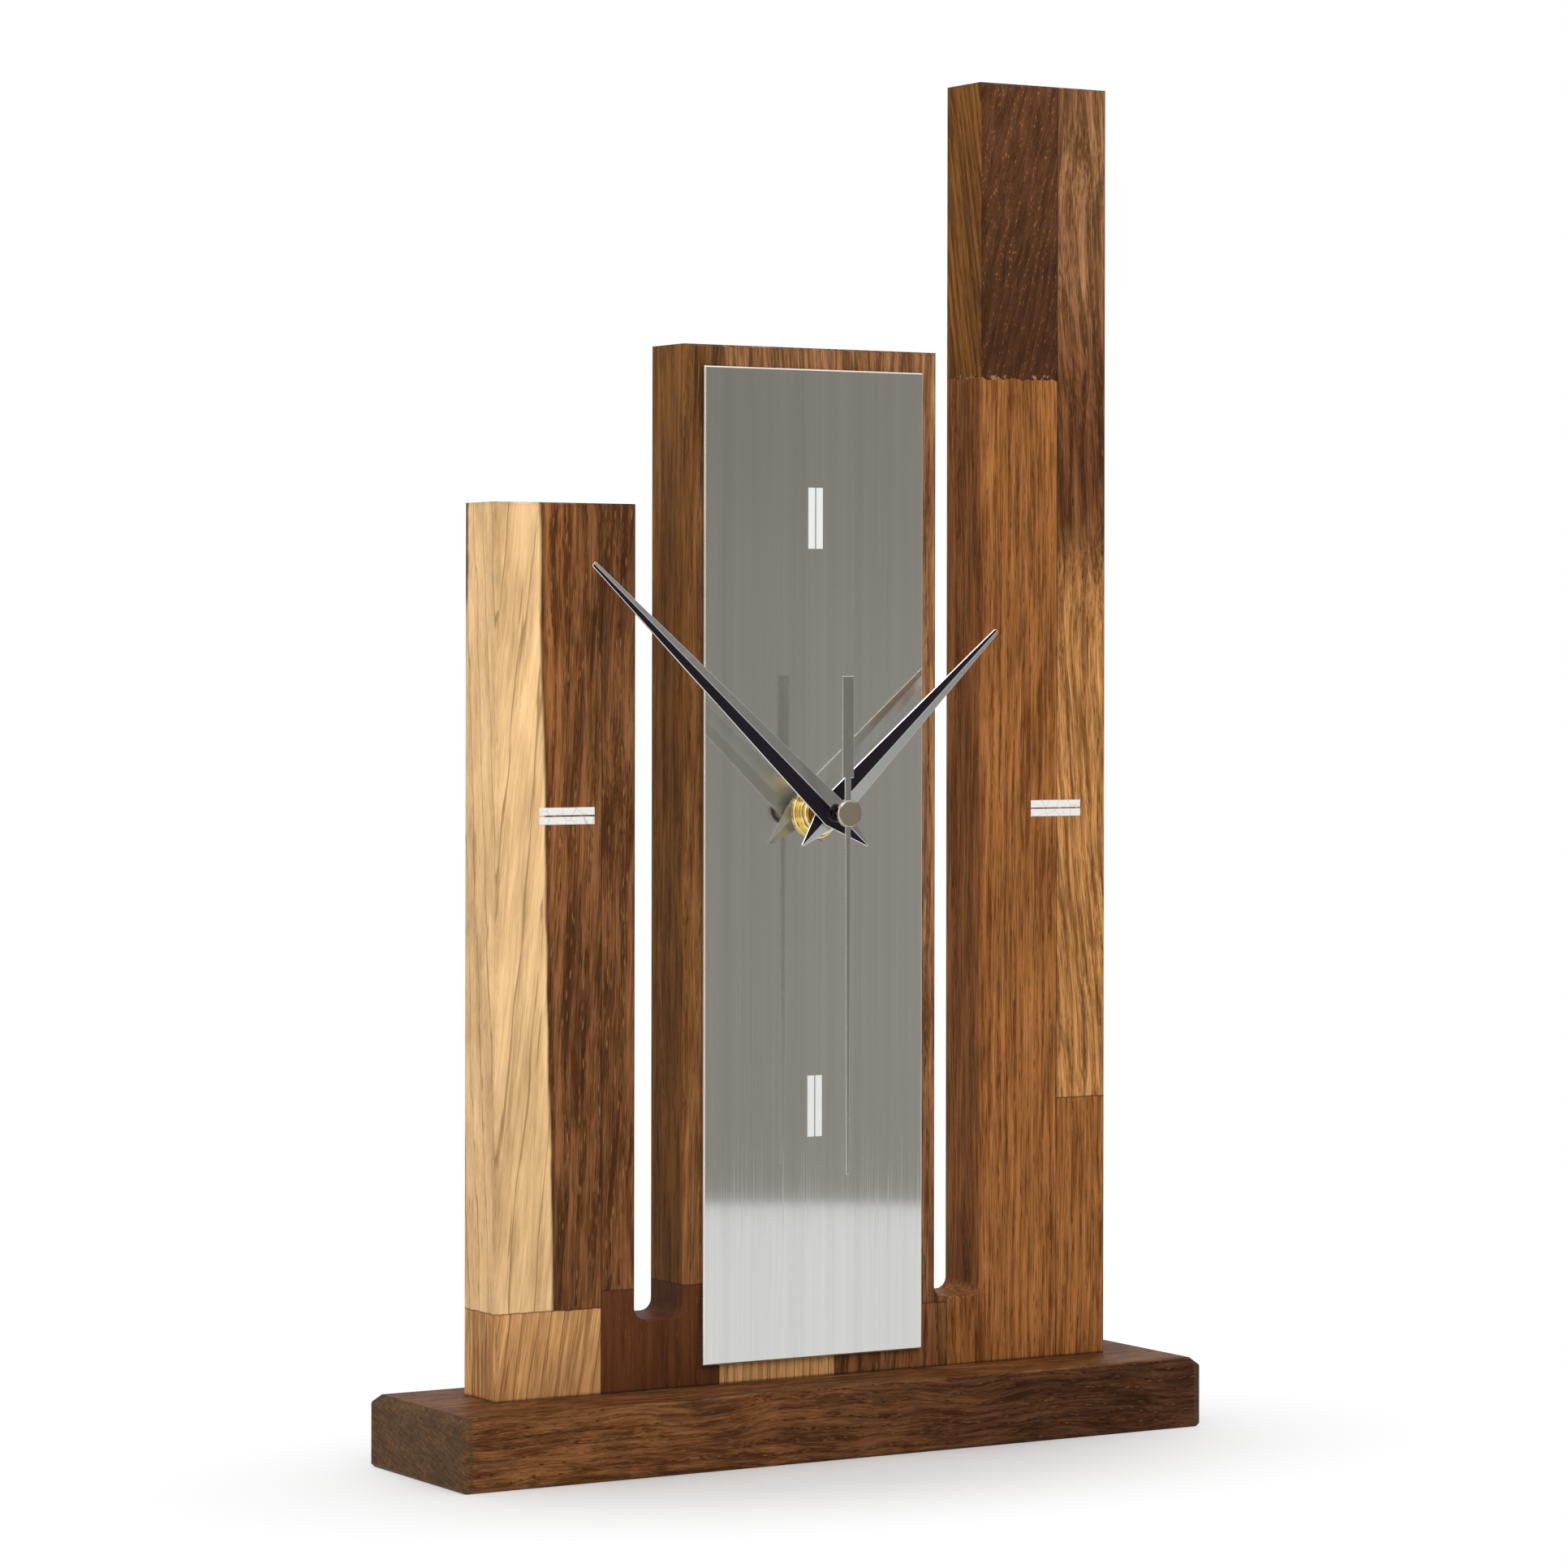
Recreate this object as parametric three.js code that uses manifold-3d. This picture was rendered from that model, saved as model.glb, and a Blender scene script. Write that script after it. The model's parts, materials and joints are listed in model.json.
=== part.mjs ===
// Table clock: a slotted board of glued oak staves on a plinth, with a steel dial plate,
// folded hands and a quartz movement let into the back of the board.
// Millimetres. X runs to the right as the dial is seen, Y to the back, Z up.
// The origin is the middle of the plinth's underside, and the dial looks along -Y.

import * as THREE from 'three';
import { mergeVertices } from 'three/addons/utils/BufferGeometryUtils.js';
import Module from 'manifold-3d';

const wasm = await Module();
wasm.setup();

// Plinth
const PLINTH_WIDTH = 216.5;
const PLINTH_DEPTH = 51;
const PLINTH_HEIGHT = 18;
const PLINTH_TOP_CHAMFER = 2.25;
const PLINTH_EASED_EDGE = 0.8;

// Board with three towers, measured up from the plinth's top
const BOARD_THICKNESS = 17;
const BOARD_SETBACK = 21;
const BOARD_SIDE_SHIFT = 1.6;
const BOARD_EASED_EDGE = 0.6;
const SIDE_TOWER_WIDTH = 39.25;
const CENTRE_TOWER_WIDTH = 75;
const SLOT_WIDTH = 13.75;
const SLOT_FLOOR_HEIGHT = 17.75;
const SLOT_CORNER_RADIUS = 3;
const LEFT_TOWER_HEIGHT = 221;
const CENTRE_TOWER_HEIGHT = 261.5;
const RIGHT_TOWER_HEIGHT = 332.3;

// Staves the board is glued up from; the last one is what the board's width leaves
const FIRST_STAVE_WIDTH = 29.5;
const STAVE_WIDTH = 34;

// Screws that hold the board, from below, as offsets from the board's middle
const SCREWS = { far_left: -68, near_left: -15, near_right: 15, far_right: 68 };
const SCREW_SHANK_RADIUS = 2;
const SCREW_HEAD_RADIUS = 4;
const SCREW_HEAD_DEPTH = 2.4;
const SCREW_HEAD_RECESS = 0.5;
const SCREW_BITE = 15;
const SCREW_POINT = 3;
const SCREW_CLEARANCE = 0.25;

// Dial plate, its adhesive film and the axis of the hands
const PLATE_WIDTH = 65;
const PLATE_HEIGHT = 251;
const PLATE_THICKNESS = 1.2;
const PLATE_EDGE_BEVEL = 0.25;
const PLATE_FOOT_GAP = 5.1;
const FILM_THICKNESS = 0.3;
const FILM_INSET = 1.5;
const DIAL_AXIS_HEIGHT = 143.6;
const PLATE_HOLE_RADIUS = 4.2;
const SHAFT_HOLE_RADIUS = 4.6;

// Hour markers, each a pair of bars
const MARKER_RADIUS = 74.6;
const MARKER_LENGTH = 15.5;
const MARKER_BAR_WIDTH = 1.9;
const MARKER_BAR_GAP = 0.4;
const MARKER_THICKNESS = 0.15;

// Folded hands; a lift is a distance in front of the plate's face
const HAND_SHEET = 0.3;
const HAND_HALF_WIDTH = 4;
const HAND_RIDGE_RISE = 1.2;
const HAND_TIP_HALF_WIDTH = 0.75;
const HAND_TIP_CORNER = 0.35;
const HAND_TAIL_HALF_WIDTH = 0.3;
const HOUR_HAND = { length: 68, tail: 12, angle: 47.1, lift: 7 };
const MINUTE_HAND = { length: 93.7, tail: 12.5, angle: -48.35, lift: 9.2 };

// Second hand: a paddle above the axis, a needle below it and a cap over the axis
const SECOND_HAND_LIFT = 15.7;
const SECOND_HAND_SHEET = 0.4;
const NEEDLE_LENGTH = 90.6;
const NEEDLE_TIP_HALF_WIDTH = 0.35;
const NEEDLE_ROOT_HALF_WIDTH = 0.75;
const PADDLE_START = 9;
const PADDLE_LENGTH = 34.6;
const PADDLE_HALF_WIDTH = 1.65;
const PADDLE_NECK_HALF_WIDTH = 0.85;
const SECOND_HUB_RADIUS = 2.2;
const CAP_RADIUS = 3.5;
const CAP_THICKNESS = 1;
const CAP_BEVEL = 0.35;

// Concentric shafts, from the axis outwards
const ARBOR_RADIUS = 0.5;
const ARBOR_FRONT_LIFT = 14.8;
const SECOND_TUBE_RADIUS = 1.1;
const SECOND_TUBE_BACK_LIFT = 12;
const MINUTE_PIPE_BORE = 0.8;
const MINUTE_PIPE_RADIUS = 1.7;
const MINUTE_PIPE_NECK = 1.3;
const MINUTE_PIPE_FRONT_LIFT = 11.3;
const HOUR_PIPE_BORE = 1.95;
const HOUR_PIPE_RADIUS = 2.5;
const HOUR_PIPE_FRONT_LIFT = 8.75;
const BUSH_BORE = 2.8;
const BUSH_RADIUS = 3.9;
const BUSH_FRONT_LIFT = 3.8;
const BUSH_FLANGE_RADIUS = 5;
const BUSH_FLANGE_THICKNESS = 0.5;
const PUSH_FIT = 0.06;
const RUNNING_FIT = 0.08;
const PIVOT_RADIUS = 0.35;
const PIVOT_LENGTH = 0.5;

// Collets of the two folded hands
const COLLET_WALL = 0.5;
const COLLET_FLANGE_RADIUS = 3.2;
const COLLET_SEAT = 0.1;
const HOUR_COLLET_BACK_LIFT = 4.6;
const MINUTE_COLLET_BACK_LIFT = 8.95;

// Nut and washers
const NUT_RADIUS = 5.8;
const NUT_THICKNESS = 2.7;
const NUT_STEP_RADIUS = 5;
const NUT_STEP = 0.8;
const NUT_BEVEL = 0.35;
const NUT_CLEARANCE = 0.15;
const FLANGE_RADIUS = 6.8;
const FLANGE_THICKNESS = 0.9;
const FLANGE_BEVEL = 0.25;
const RUBBER_WASHER_RADIUS = 11;
const RUBBER_WASHER_THICKNESS = 0.8;

// Pocket in the back of the board, and the movement's case; a depth is measured from its front
const POCKET_SIZE = 57;
const POCKET_DEPTH = 11.5;
const POCKET_CORNER_RADIUS = 3.5;
const CASE_SIZE = 55;
const CASE_DEPTH = 14.8;
const CASE_WALL = 1.2;
const CASE_CORNER_RADIUS = 3;
const COVER_THICKNESS = 1.2;
const GEAR_ROOM_FLOOR = -10.4;
const DIVIDER_THICKNESS = 1;

// Battery and its contacts
const BATTERY_RADIUS = 7.1;
const BATTERY_LENGTH = 50.5;
const BATTERY_NUB_RADIUS = 2.75;
const BATTERY_NUB_LENGTH = 1;
const BATTERY_EDGE = 0.5;
const BATTERY_REST_GAP = 0.2;
const CONTACT_THICKNESS = 0.3;
const CONTACT_HALF_WIDTH = 4.5;
const CONTACT_HALF_HEIGHT = 5;
const CONTACT_TONGUE_HALF_WIDTH = 1.5;

// Bridge between the two halves of the train
const BRIDGE_DEPTH = 7.25;
const BRIDGE_THICKNESS = 0.5;
const BRIDGE_LEFT = -24;
const BRIDGE_RIGHT = 22;
const BRIDGE_BOTTOM = -9.5;
const BRIDGE_TOP = 23.5;
const BRIDGE_CORNER_RADIUS = 1;
const BRIDGE_LEG_INSET = 2.2;
const BRIDGE_LEG_RADIUS = 1.3;

// Stepping motor
const STATOR_DEPTH = 11.8;
const STATOR_THICKNESS = 0.6;
const STATOR_LEFT = -16.5;
const STATOR_RIGHT = 6.5;
const STATOR_BOTTOM = 8.2;
const STATOR_TOP = 21.6;
const STATOR_WINDOW_INSET = 3.7;
const STATOR_WINDOW_BOTTOM = 16;
const STATOR_BAR_WIDTH = 2;
const STATOR_HOLE_RADIUS = 3.1;
const STATOR_POST_RADIUS = 1;
const STATOR_POST_INSET = 1.4;
const COIL_LENGTH = 14.4;
const COIL_RADIUS = 2.2;
const COIL_FLANGE_RADIUS = 2.6;
const COIL_FLANGE_THICKNESS = 0.8;
const COIL_BORE_CLEARANCE = 0.2;
const MAGNET_RADIUS = 2.5;

// Circuit board, behind the train on the right
const CIRCUIT_BOARD = { left: 11, right: 25.5, bottom: -9.5, top: 24.5, thickness: 1 };
const CHIP = { x: 18, z: 2, radius: 2.2, height: 0.8 };
const CRYSTAL = { x: 18, z: 14, radius: 1, length: 6, gap: 0.05 };

// Setting knob; a rib's half width is a share of the ribs' pitch
const KNOB_RADIUS = 4.5;
const KNOB_GROOVE = 0.35;
const KNOB_THICKNESS = 2.6;
const KNOB_BEVEL = 0.3;
const KNOB_GAP = 0.4;
const KNOB_RIBS = 18;
const KNOB_RIB_HALF_WIDTH = 0.2;

// Wheel train: arbor places as distance and bearing, and the numbers of teeth
const CENTRE_TO_REVERSER = 10.8;
const CENTRE_TO_THIRD = 10.2;
const CENTRE_TO_INTERMEDIATE = 8.1;
const INTERMEDIATE_TO_ROTOR = 7.56;
const REVERSER_BEARING = 45;
const THIRD_BEARING = 165;
const INTERMEDIATE_BEARING = 100;
const ROTOR_BEARING = 150;
const HOUR_TEETH = 40;
const REVERSER_PINION_TEETH = 10;
const REVERSER_TEETH = 36;
const CANNON_TEETH = 12;
const CENTRE_TEETH = 64;
const THIRD_PINION_TEETH = 8;
const THIRD_TEETH = 60;
const SECOND_PINION_TEETH = 8;
const SECOND_TEETH = 30;
const INTERMEDIATE_PINION_TEETH = 6;
const INTERMEDIATE_TEETH = 36;
const ROTOR_PINION_TEETH = 6;

// Teeth: heights in modules, and half widths as shares of the pitch
const TOOTH_ADDENDUM = 0.85;
const TOOTH_DEDENDUM = 1.15;
const WHEEL_TOOTH = { root: 0.25, tip: 0.11 };
const PINION_LEAF = { root: 0.2, tip: 0.1 };

// Layers of the train, as depths behind the case's front
const HOUR_LAYER = { from: 1.5, to: 2.3 };
const REVERSER_PINION_LAYER = { from: 1.4, to: 2.9 };
const CANNON_LAYER = { from: 2.6, to: 3.6 };
const REVERSER_LAYER = { from: 2.8, to: 3.4 };
const CLUTCH_LAYER = { from: 3.8, to: 5.2 };
const CENTRE_LAYER = { from: 4.4, to: 5 };
const THIRD_PINION_LAYER = { from: 4.2, to: 5.4 };
const SECOND_PINION_LAYER = { from: 6.1, to: 7.1 };
const THIRD_LAYER = { from: 6.4, to: 7 };
const INTERMEDIATE_PINION_LAYER = { from: 7.9, to: 9 };
const SECOND_LAYER = { from: 8, to: 8.6 };
const ROTOR_PINION_LAYER = { from: 9.3, to: 10.6 };
const INTERMEDIATE_LAYER = { from: 9.6, to: 10.2 };
const MAGNET_LAYER = { from: 10.9, to: 13.4 };
const CENTRE_HUB_RADIUS = 2.6;
const SHOULDER_GAP = 0.1;

// Segments of round pieces, and a margin that carries a cutter past what it cuts
const FINE_ROUND = 32;
const ROUND = 24;
const SMALL_ROUND = 12;
const PAST = 1;

// Places that follow from the sizes; inside the board's group y is 0 at the board's front face
const BOARD_FRONT = -PLINTH_DEPTH / 2 + BOARD_SETBACK;
const BOARD_WIDTH = 2 * SIDE_TOWER_WIDTH + 2 * SLOT_WIDTH + CENTRE_TOWER_WIDTH;
const SIDE_TOWER_OFFSET = (BOARD_WIDTH - SIDE_TOWER_WIDTH) / 2;
const PLATE_BACK = -FILM_THICKNESS;
const PLATE_FACE = PLATE_BACK - PLATE_THICKNESS;
const NUT_BACK = PLATE_FACE - FLANGE_THICKNESS;
const POCKET_FLOOR = BOARD_THICKNESS - POCKET_DEPTH;
const CASE_FRONT = POCKET_FLOOR + RUBBER_WASHER_THICKNESS;
const CASE_INSIDE = CASE_SIZE / 2 - CASE_WALL;
const COVER_BACK_DEPTH = CASE_DEPTH + COVER_THICKNESS;
const BATTERY_BAY_TOP = GEAR_ROOM_FLOOR - DIVIDER_THICKNESS;
const BATTERY_HEIGHT = (BATTERY_BAY_TOP - CASE_INSIDE) / 2;
const BATTERY_DEPTH = CASE_WALL + BATTERY_REST_GAP + BATTERY_RADIUS;
const COIL_MIDDLE = (STATOR_LEFT + STATOR_RIGHT) / 2;
const DIAL_AXIS = { x: 0, z: DIAL_AXIS_HEIGHT };

// Arbors in the dial's plane, measured from the axis of the hands
const CENTRE = { x: 0, z: 0 };
const REVERSER = stepFrom(CENTRE, CENTRE_TO_REVERSER, REVERSER_BEARING);
const THIRD = stepFrom(CENTRE, CENTRE_TO_THIRD, THIRD_BEARING);
const INTERMEDIATE = stepFrom(CENTRE, CENTRE_TO_INTERMEDIATE, INTERMEDIATE_BEARING);
const ROTOR = stepFrom(INTERMEDIATE, INTERMEDIATE_TO_ROTOR, ROTOR_BEARING);

// Materials
const darkOak = () => surface(0x6b4630, 0.62, 0);
const goldenOak = () => surface(0x8a5a30, 0.62, 0);
const paleOak = () => surface(0xcaa477, 0.62, 0);
const brushedSteel = () => surface(0xa3a39f, 0.28, 1);
const polishedSteel = () => surface(0xb9bab8, 0.12, 1);
const polishedBrass = () => surface(0xd8a84a, 0.22, 1);
const turnedBrass = () => surface(0xb99345, 0.35, 1);
const copperWire = () => surface(0xa9552c, 0.4, 1);
const platedSteel = () => surface(0xa8a79c, 0.4, 1);
const blackPlastic = () => surface(0x1b1b1d, 0.55, 0);
const whitePlastic = () => surface(0xe6e4dc, 0.5, 0);
const greenLaminate = () => surface(0x2d5a36, 0.5, 0);
const blackRubber = () => surface(0x161616, 0.85, 0);
const whiteFoil = () => surface(0xf2f1ee, 0.45, 0);
const darkFilm = () => surface(0x2a2725, 0.7, 0);
const magnetGrey = () => surface(0x4b4b50, 0.5, 0.6);
const blueJacket = () => surface(0x24354f, 0.4, 0.2);

function surface(color, roughness, metalness) {
  return new THREE.MeshStandardMaterial({ color, roughness, metalness });
}

// A place in the dial's plane, a step away from another one; bearings turn from +X towards +Z
function stepFrom(place, distance, bearing) {
  const turn = THREE.MathUtils.degToRad(bearing);
  return { x: place.x + distance * Math.cos(turn), z: place.z + distance * Math.sin(turn) };
}

function bearingFrom(from, to) {
  return Math.atan2(to.z - from.z, to.x - from.x);
}

// Depths along Y inside the board's group
function lifted(lift) {
  return PLATE_FACE - lift;
}

function deep(depth) {
  return CASE_FRONT + depth;
}

// Closed solids from three.js geometries
function solid(geometry) {
  geometry.deleteAttribute('normal');
  geometry.deleteAttribute('uv');
  const welded = mergeVertices(geometry, 1e-5);
  const mesh = new wasm.Mesh({
    numProp: 3,
    vertProperties: new Float32Array(welded.attributes.position.array),
    triVerts: new Uint32Array(welded.index.array),
  });
  return new wasm.Manifold(mesh);
}

// A named mesh, standing at its place in the dial's plane
function piece(name, body, material, place = CENTRE) {
  const solidMesh = body.getMesh();
  const geometry = new THREE.BufferGeometry();
  geometry.setAttribute('position', new THREE.BufferAttribute(solidMesh.vertProperties, 3));
  geometry.setIndex(new THREE.BufferAttribute(solidMesh.triVerts, 1));
  geometry.computeVertexNormals();
  const mesh = new THREE.Mesh(geometry, material);
  mesh.name = name;
  mesh.position.set(place.x, 0, place.z);
  return mesh;
}

function joined(bodies) {
  return bodies.reduce((sum, next) => sum.add(next));
}

function box(x0, x1, y0, y1, z0, z1) {
  const geometry = new THREE.BoxGeometry(x1 - x0, y1 - y0, z1 - z0);
  geometry.translate((x0 + x1) / 2, (y0 + y1) / 2, (z0 + z1) / 2);
  return solid(geometry);
}

// A slab whose outline lies in X and Z, between two depths
function slab(shape, yFront, yBack, bevel = 0, curveSegments = 2) {
  const geometry = extruded(shape, yBack - yFront, bevel, curveSegments);
  geometry.rotateX(Math.PI / 2);
  geometry.translate(0, yBack, 0);
  return solid(geometry);
}

// A block whose outline lies in X and Y, between two heights
function uprightBlock(shape, z0, z1, bevel) {
  const geometry = extruded(shape, z1 - z0, bevel, 2);
  geometry.translate(0, 0, z0);
  return solid(geometry);
}

function extruded(shape, thickness, bevel, curveSegments) {
  const geometry = new THREE.ExtrudeGeometry(shape, {
    depth: thickness - 2 * bevel,
    bevelEnabled: bevel > 0,
    bevelThickness: bevel,
    bevelSize: bevel,
    bevelOffset: -bevel,
    bevelSegments: 1,
    curveSegments,
  });
  geometry.translate(0, 0, bevel);
  return geometry;
}

// A piece turned about a line along Y; the profile is a list of [radius, y]
function turned(profile, segments = ROUND) {
  const points = profile.map(([radius, y]) => new THREE.Vector2(radius, y));
  return solid(new THREE.LatheGeometry(points, segments));
}

function rod(radius, y0, y1, segments = SMALL_ROUND) {
  const geometry = new THREE.CylinderGeometry(radius, radius, y1 - y0, segments);
  geometry.translate(0, (y0 + y1) / 2, 0);
  return solid(geometry);
}

function rodAt(place, radius, y0, y1, segments = SMALL_ROUND) {
  return rod(radius, y0, y1, segments).translate([place.x, 0, place.z]);
}

function ring(outer, inner, y0, y1, segments = ROUND) {
  return turned([[inner, y0], [outer, y0], [outer, y1], [inner, y1], [inner, y0]], segments);
}

function polygon(points) {
  return new THREE.Shape(points.map(([x, z]) => new THREE.Vector2(x, z)));
}

function rectangle(x0, x1, z0, z1) {
  return polygon([[x0, z0], [x1, z0], [x1, z1], [x0, z1]]);
}

function roundedRectangle(x0, x1, z0, z1, radius) {
  const shape = new THREE.Shape();
  shape.absarc(x1 - radius, z0 + radius, radius, -Math.PI / 2, 0, false);
  shape.absarc(x1 - radius, z1 - radius, radius, 0, Math.PI / 2, false);
  shape.absarc(x0 + radius, z1 - radius, radius, Math.PI / 2, Math.PI, false);
  shape.absarc(x0 + radius, z0 + radius, radius, Math.PI, 1.5 * Math.PI, false);
  return shape;
}

function roundedSquare(size, radius) {
  return roundedRectangle(-size / 2, size / 2, -size / 2, size / 2, radius);
}

// Plinth: chamfered all round the top, its other edges only eased, with holes for the screws
function plinth() {
  const x = PLINTH_WIDTH / 2;
  const y = PLINTH_DEPTH / 2;
  const ease = PLINTH_EASED_EDGE;
  const easedPlan = polygon([
    [-x + ease, -y], [x - ease, -y], [x, -y + ease], [x, y - ease],
    [x - ease, y], [-x + ease, y], [-x, y - ease], [-x, -y + ease],
  ]);
  const plan = rectangle(-x, x, -y, y);
  const chamferedTop = uprightBlock(plan, -PLINTH_HEIGHT, PLINTH_HEIGHT, PLINTH_TOP_CHAMFER);
  const easedFoot = uprightBlock(easedPlan, 0, 2 * PLINTH_HEIGHT, ease);
  let body = chamferedTop.intersect(easedFoot);
  for (const offset of Object.values(SCREWS)) {
    body = body.subtract(screwHole().translate(screwPlace(offset)));
  }
  return body;
}

// Countersunk wood screws; the holes follow their outline with some clearance
function screw() {
  const top = PLINTH_HEIGHT + SCREW_BITE;
  return uprightTurned([
    [0, SCREW_HEAD_RECESS], [SCREW_HEAD_RADIUS, SCREW_HEAD_RECESS],
    [SCREW_SHANK_RADIUS, SCREW_HEAD_RECESS + SCREW_HEAD_DEPTH],
    [SCREW_SHANK_RADIUS, top - SCREW_POINT], [0, top],
  ]);
}

function screwHole() {
  const top = PLINTH_HEIGHT + SCREW_BITE + SCREW_CLEARANCE;
  const shank = SCREW_SHANK_RADIUS + SCREW_CLEARANCE;
  const head = SCREW_HEAD_RADIUS + SCREW_CLEARANCE;
  return uprightTurned([
    [0, -PAST], [head, -PAST], [head, SCREW_HEAD_RECESS + SCREW_CLEARANCE],
    [shank, SCREW_HEAD_RECESS + SCREW_HEAD_DEPTH + SCREW_CLEARANCE],
    [shank, top - SCREW_POINT], [0, top],
  ]);
}

function uprightTurned(profile) {
  const points = profile.map(([radius, height]) => new THREE.Vector2(radius, height));
  const geometry = new THREE.LatheGeometry(points, SMALL_ROUND);
  geometry.rotateX(Math.PI / 2);
  return solid(geometry);
}

function screwPlace(offset) {
  return [BOARD_SIDE_SHIFT + offset, BOARD_FRONT + BOARD_THICKNESS / 2, 0];
}

function screws() {
  return Object.entries(SCREWS).map(([name, offset]) => {
    const mesh = piece(`plinth_screw_${name}`, screw(), platedSteel());
    mesh.position.set(...screwPlace(offset));
    return mesh;
  });
}

// Board: one outline with two open slots, eased along every edge but the foot
function boardOutline() {
  const side = BOARD_WIDTH / 2;
  const slotOutside = side - SIDE_TOWER_WIDTH;
  const slotInside = slotOutside - SLOT_WIDTH;
  const belowFoot = -2 * BOARD_EASED_EDGE;
  const shape = new THREE.Shape();
  shape.moveTo(-side, belowFoot);
  shape.lineTo(side, belowFoot);
  shape.lineTo(side, RIGHT_TOWER_HEIGHT);
  shape.lineTo(slotOutside, RIGHT_TOWER_HEIGHT);
  slotFoot(shape, slotInside, slotOutside);
  shape.lineTo(slotInside, CENTRE_TOWER_HEIGHT);
  shape.lineTo(-slotInside, CENTRE_TOWER_HEIGHT);
  slotFoot(shape, -slotOutside, -slotInside);
  shape.lineTo(-slotOutside, LEFT_TOWER_HEIGHT);
  shape.lineTo(-side, LEFT_TOWER_HEIGHT);
  return shape;
}

// The rounded foot of a slot, drawn from its right side to its left
function slotFoot(shape, left, right) {
  const r = SLOT_CORNER_RADIUS;
  const z = SLOT_FLOOR_HEIGHT + r;
  shape.lineTo(right, z);
  shape.absarc(right - r, z, r, 0, -Math.PI / 2, true);
  shape.absarc(left + r, z, r, -Math.PI / 2, -Math.PI, true);
}

function board() {
  const outline = slab(boardOutline(), 0, BOARD_THICKNESS, BOARD_EASED_EDGE, 3);
  const pastBack = BOARD_THICKNESS + PAST;
  const belowFoot = box(-BOARD_WIDTH, BOARD_WIDTH, -PAST, pastBack, -PLINTH_HEIGHT, 0);
  const pocketShape = roundedSquare(POCKET_SIZE, POCKET_CORNER_RADIUS);
  const pocket = slab(pocketShape, POCKET_FLOOR, pastBack, 0, 3);
  const shaftHole = rod(SHAFT_HOLE_RADIUS, -PAST, POCKET_FLOOR + PAST, ROUND);
  const movementRoom = pocket.add(shaftHole).translate([0, 0, DIAL_AXIS_HEIGHT]);
  let body = outline.subtract(belowFoot).subtract(movementRoom);
  for (const offset of Object.values(SCREWS)) {
    body = body.subtract(screwHole().translate([offset, BOARD_THICKNESS / 2, -PLINTH_HEIGHT]));
  }
  return body;
}

// The board is cut from a panel of upright staves, so its two outer staves are narrower
function staves() {
  const whole = board();
  const woods = {
    left_outer: paleOak,
    left_inner: darkOak,
    centre_left: goldenOak,
    centre_right: darkOak,
    right_inner: goldenOak,
    right_outer: goldenOak,
  };
  const firstJoint = FIRST_STAVE_WIDTH - BOARD_WIDTH / 2;
  return Object.entries(woods).map(([name, wood], index) => {
    const right = Math.min(firstJoint + index * STAVE_WIDTH, BOARD_WIDTH / 2);
    const left = Math.max(firstJoint + (index - 1) * STAVE_WIDTH, -BOARD_WIDTH / 2);
    const top = RIGHT_TOWER_HEIGHT + PAST;
    const cutter = box(left, right, -PAST, BOARD_THICKNESS + PAST, -PAST, top);
    return piece(`stave_${name}`, whole.intersect(cutter), wood());
  });
}

// Dial plate, bevelled along its edges, and the adhesive film behind it
function dialPlate() {
  const half = PLATE_WIDTH / 2;
  const outline = rectangle(-half, half, PLATE_FOOT_GAP, PLATE_FOOT_GAP + PLATE_HEIGHT);
  const hole = rodAt(DIAL_AXIS, PLATE_HOLE_RADIUS, PLATE_FACE - PAST, PLATE_BACK + PAST, ROUND);
  return slab(outline, PLATE_FACE, PLATE_BACK, PLATE_EDGE_BEVEL).subtract(hole);
}

function dialFilm() {
  const half = PLATE_WIDTH / 2 - FILM_INSET;
  const foot = PLATE_FOOT_GAP + FILM_INSET;
  const film = box(-half, half, PLATE_BACK, 0, foot, foot + PLATE_HEIGHT - 2 * FILM_INSET);
  return film.subtract(rodAt(DIAL_AXIS, SHAFT_HOLE_RADIUS, PLATE_BACK - PAST, PAST, ROUND));
}

// Hour markers: pairs of bars that point at the axis; the nine stands in the middle of its tower
function markers() {
  const places = {
    twelve: { x: 0, z: MARKER_RADIUS, turn: 0, face: PLATE_FACE },
    three: { x: MARKER_RADIUS, z: 0, turn: Math.PI / 2, face: 0 },
    six: { x: 0, z: -MARKER_RADIUS, turn: 0, face: PLATE_FACE },
    nine: { x: -SIDE_TOWER_OFFSET, z: 0, turn: Math.PI / 2, face: 0 },
  };
  return Object.entries(places).flatMap(([hour, place]) => [
    markerBar(`marker_${hour}_a`, place, -1),
    markerBar(`marker_${hour}_b`, place, 1),
  ]);
}

function markerBar(name, place, side) {
  const aside = (side * (MARKER_BAR_WIDTH + MARKER_BAR_GAP)) / 2;
  const halfWidth = MARKER_BAR_WIDTH / 2;
  const halfLength = MARKER_LENGTH / 2;
  const bar = box(aside - halfWidth, aside + halfWidth, -MARKER_THICKNESS, 0, -halfLength, halfLength);
  const mesh = piece(name, bar, whiteFoil(), place);
  mesh.position.y = place.face;
  mesh.rotation.y = place.turn;
  return mesh;
}

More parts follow.
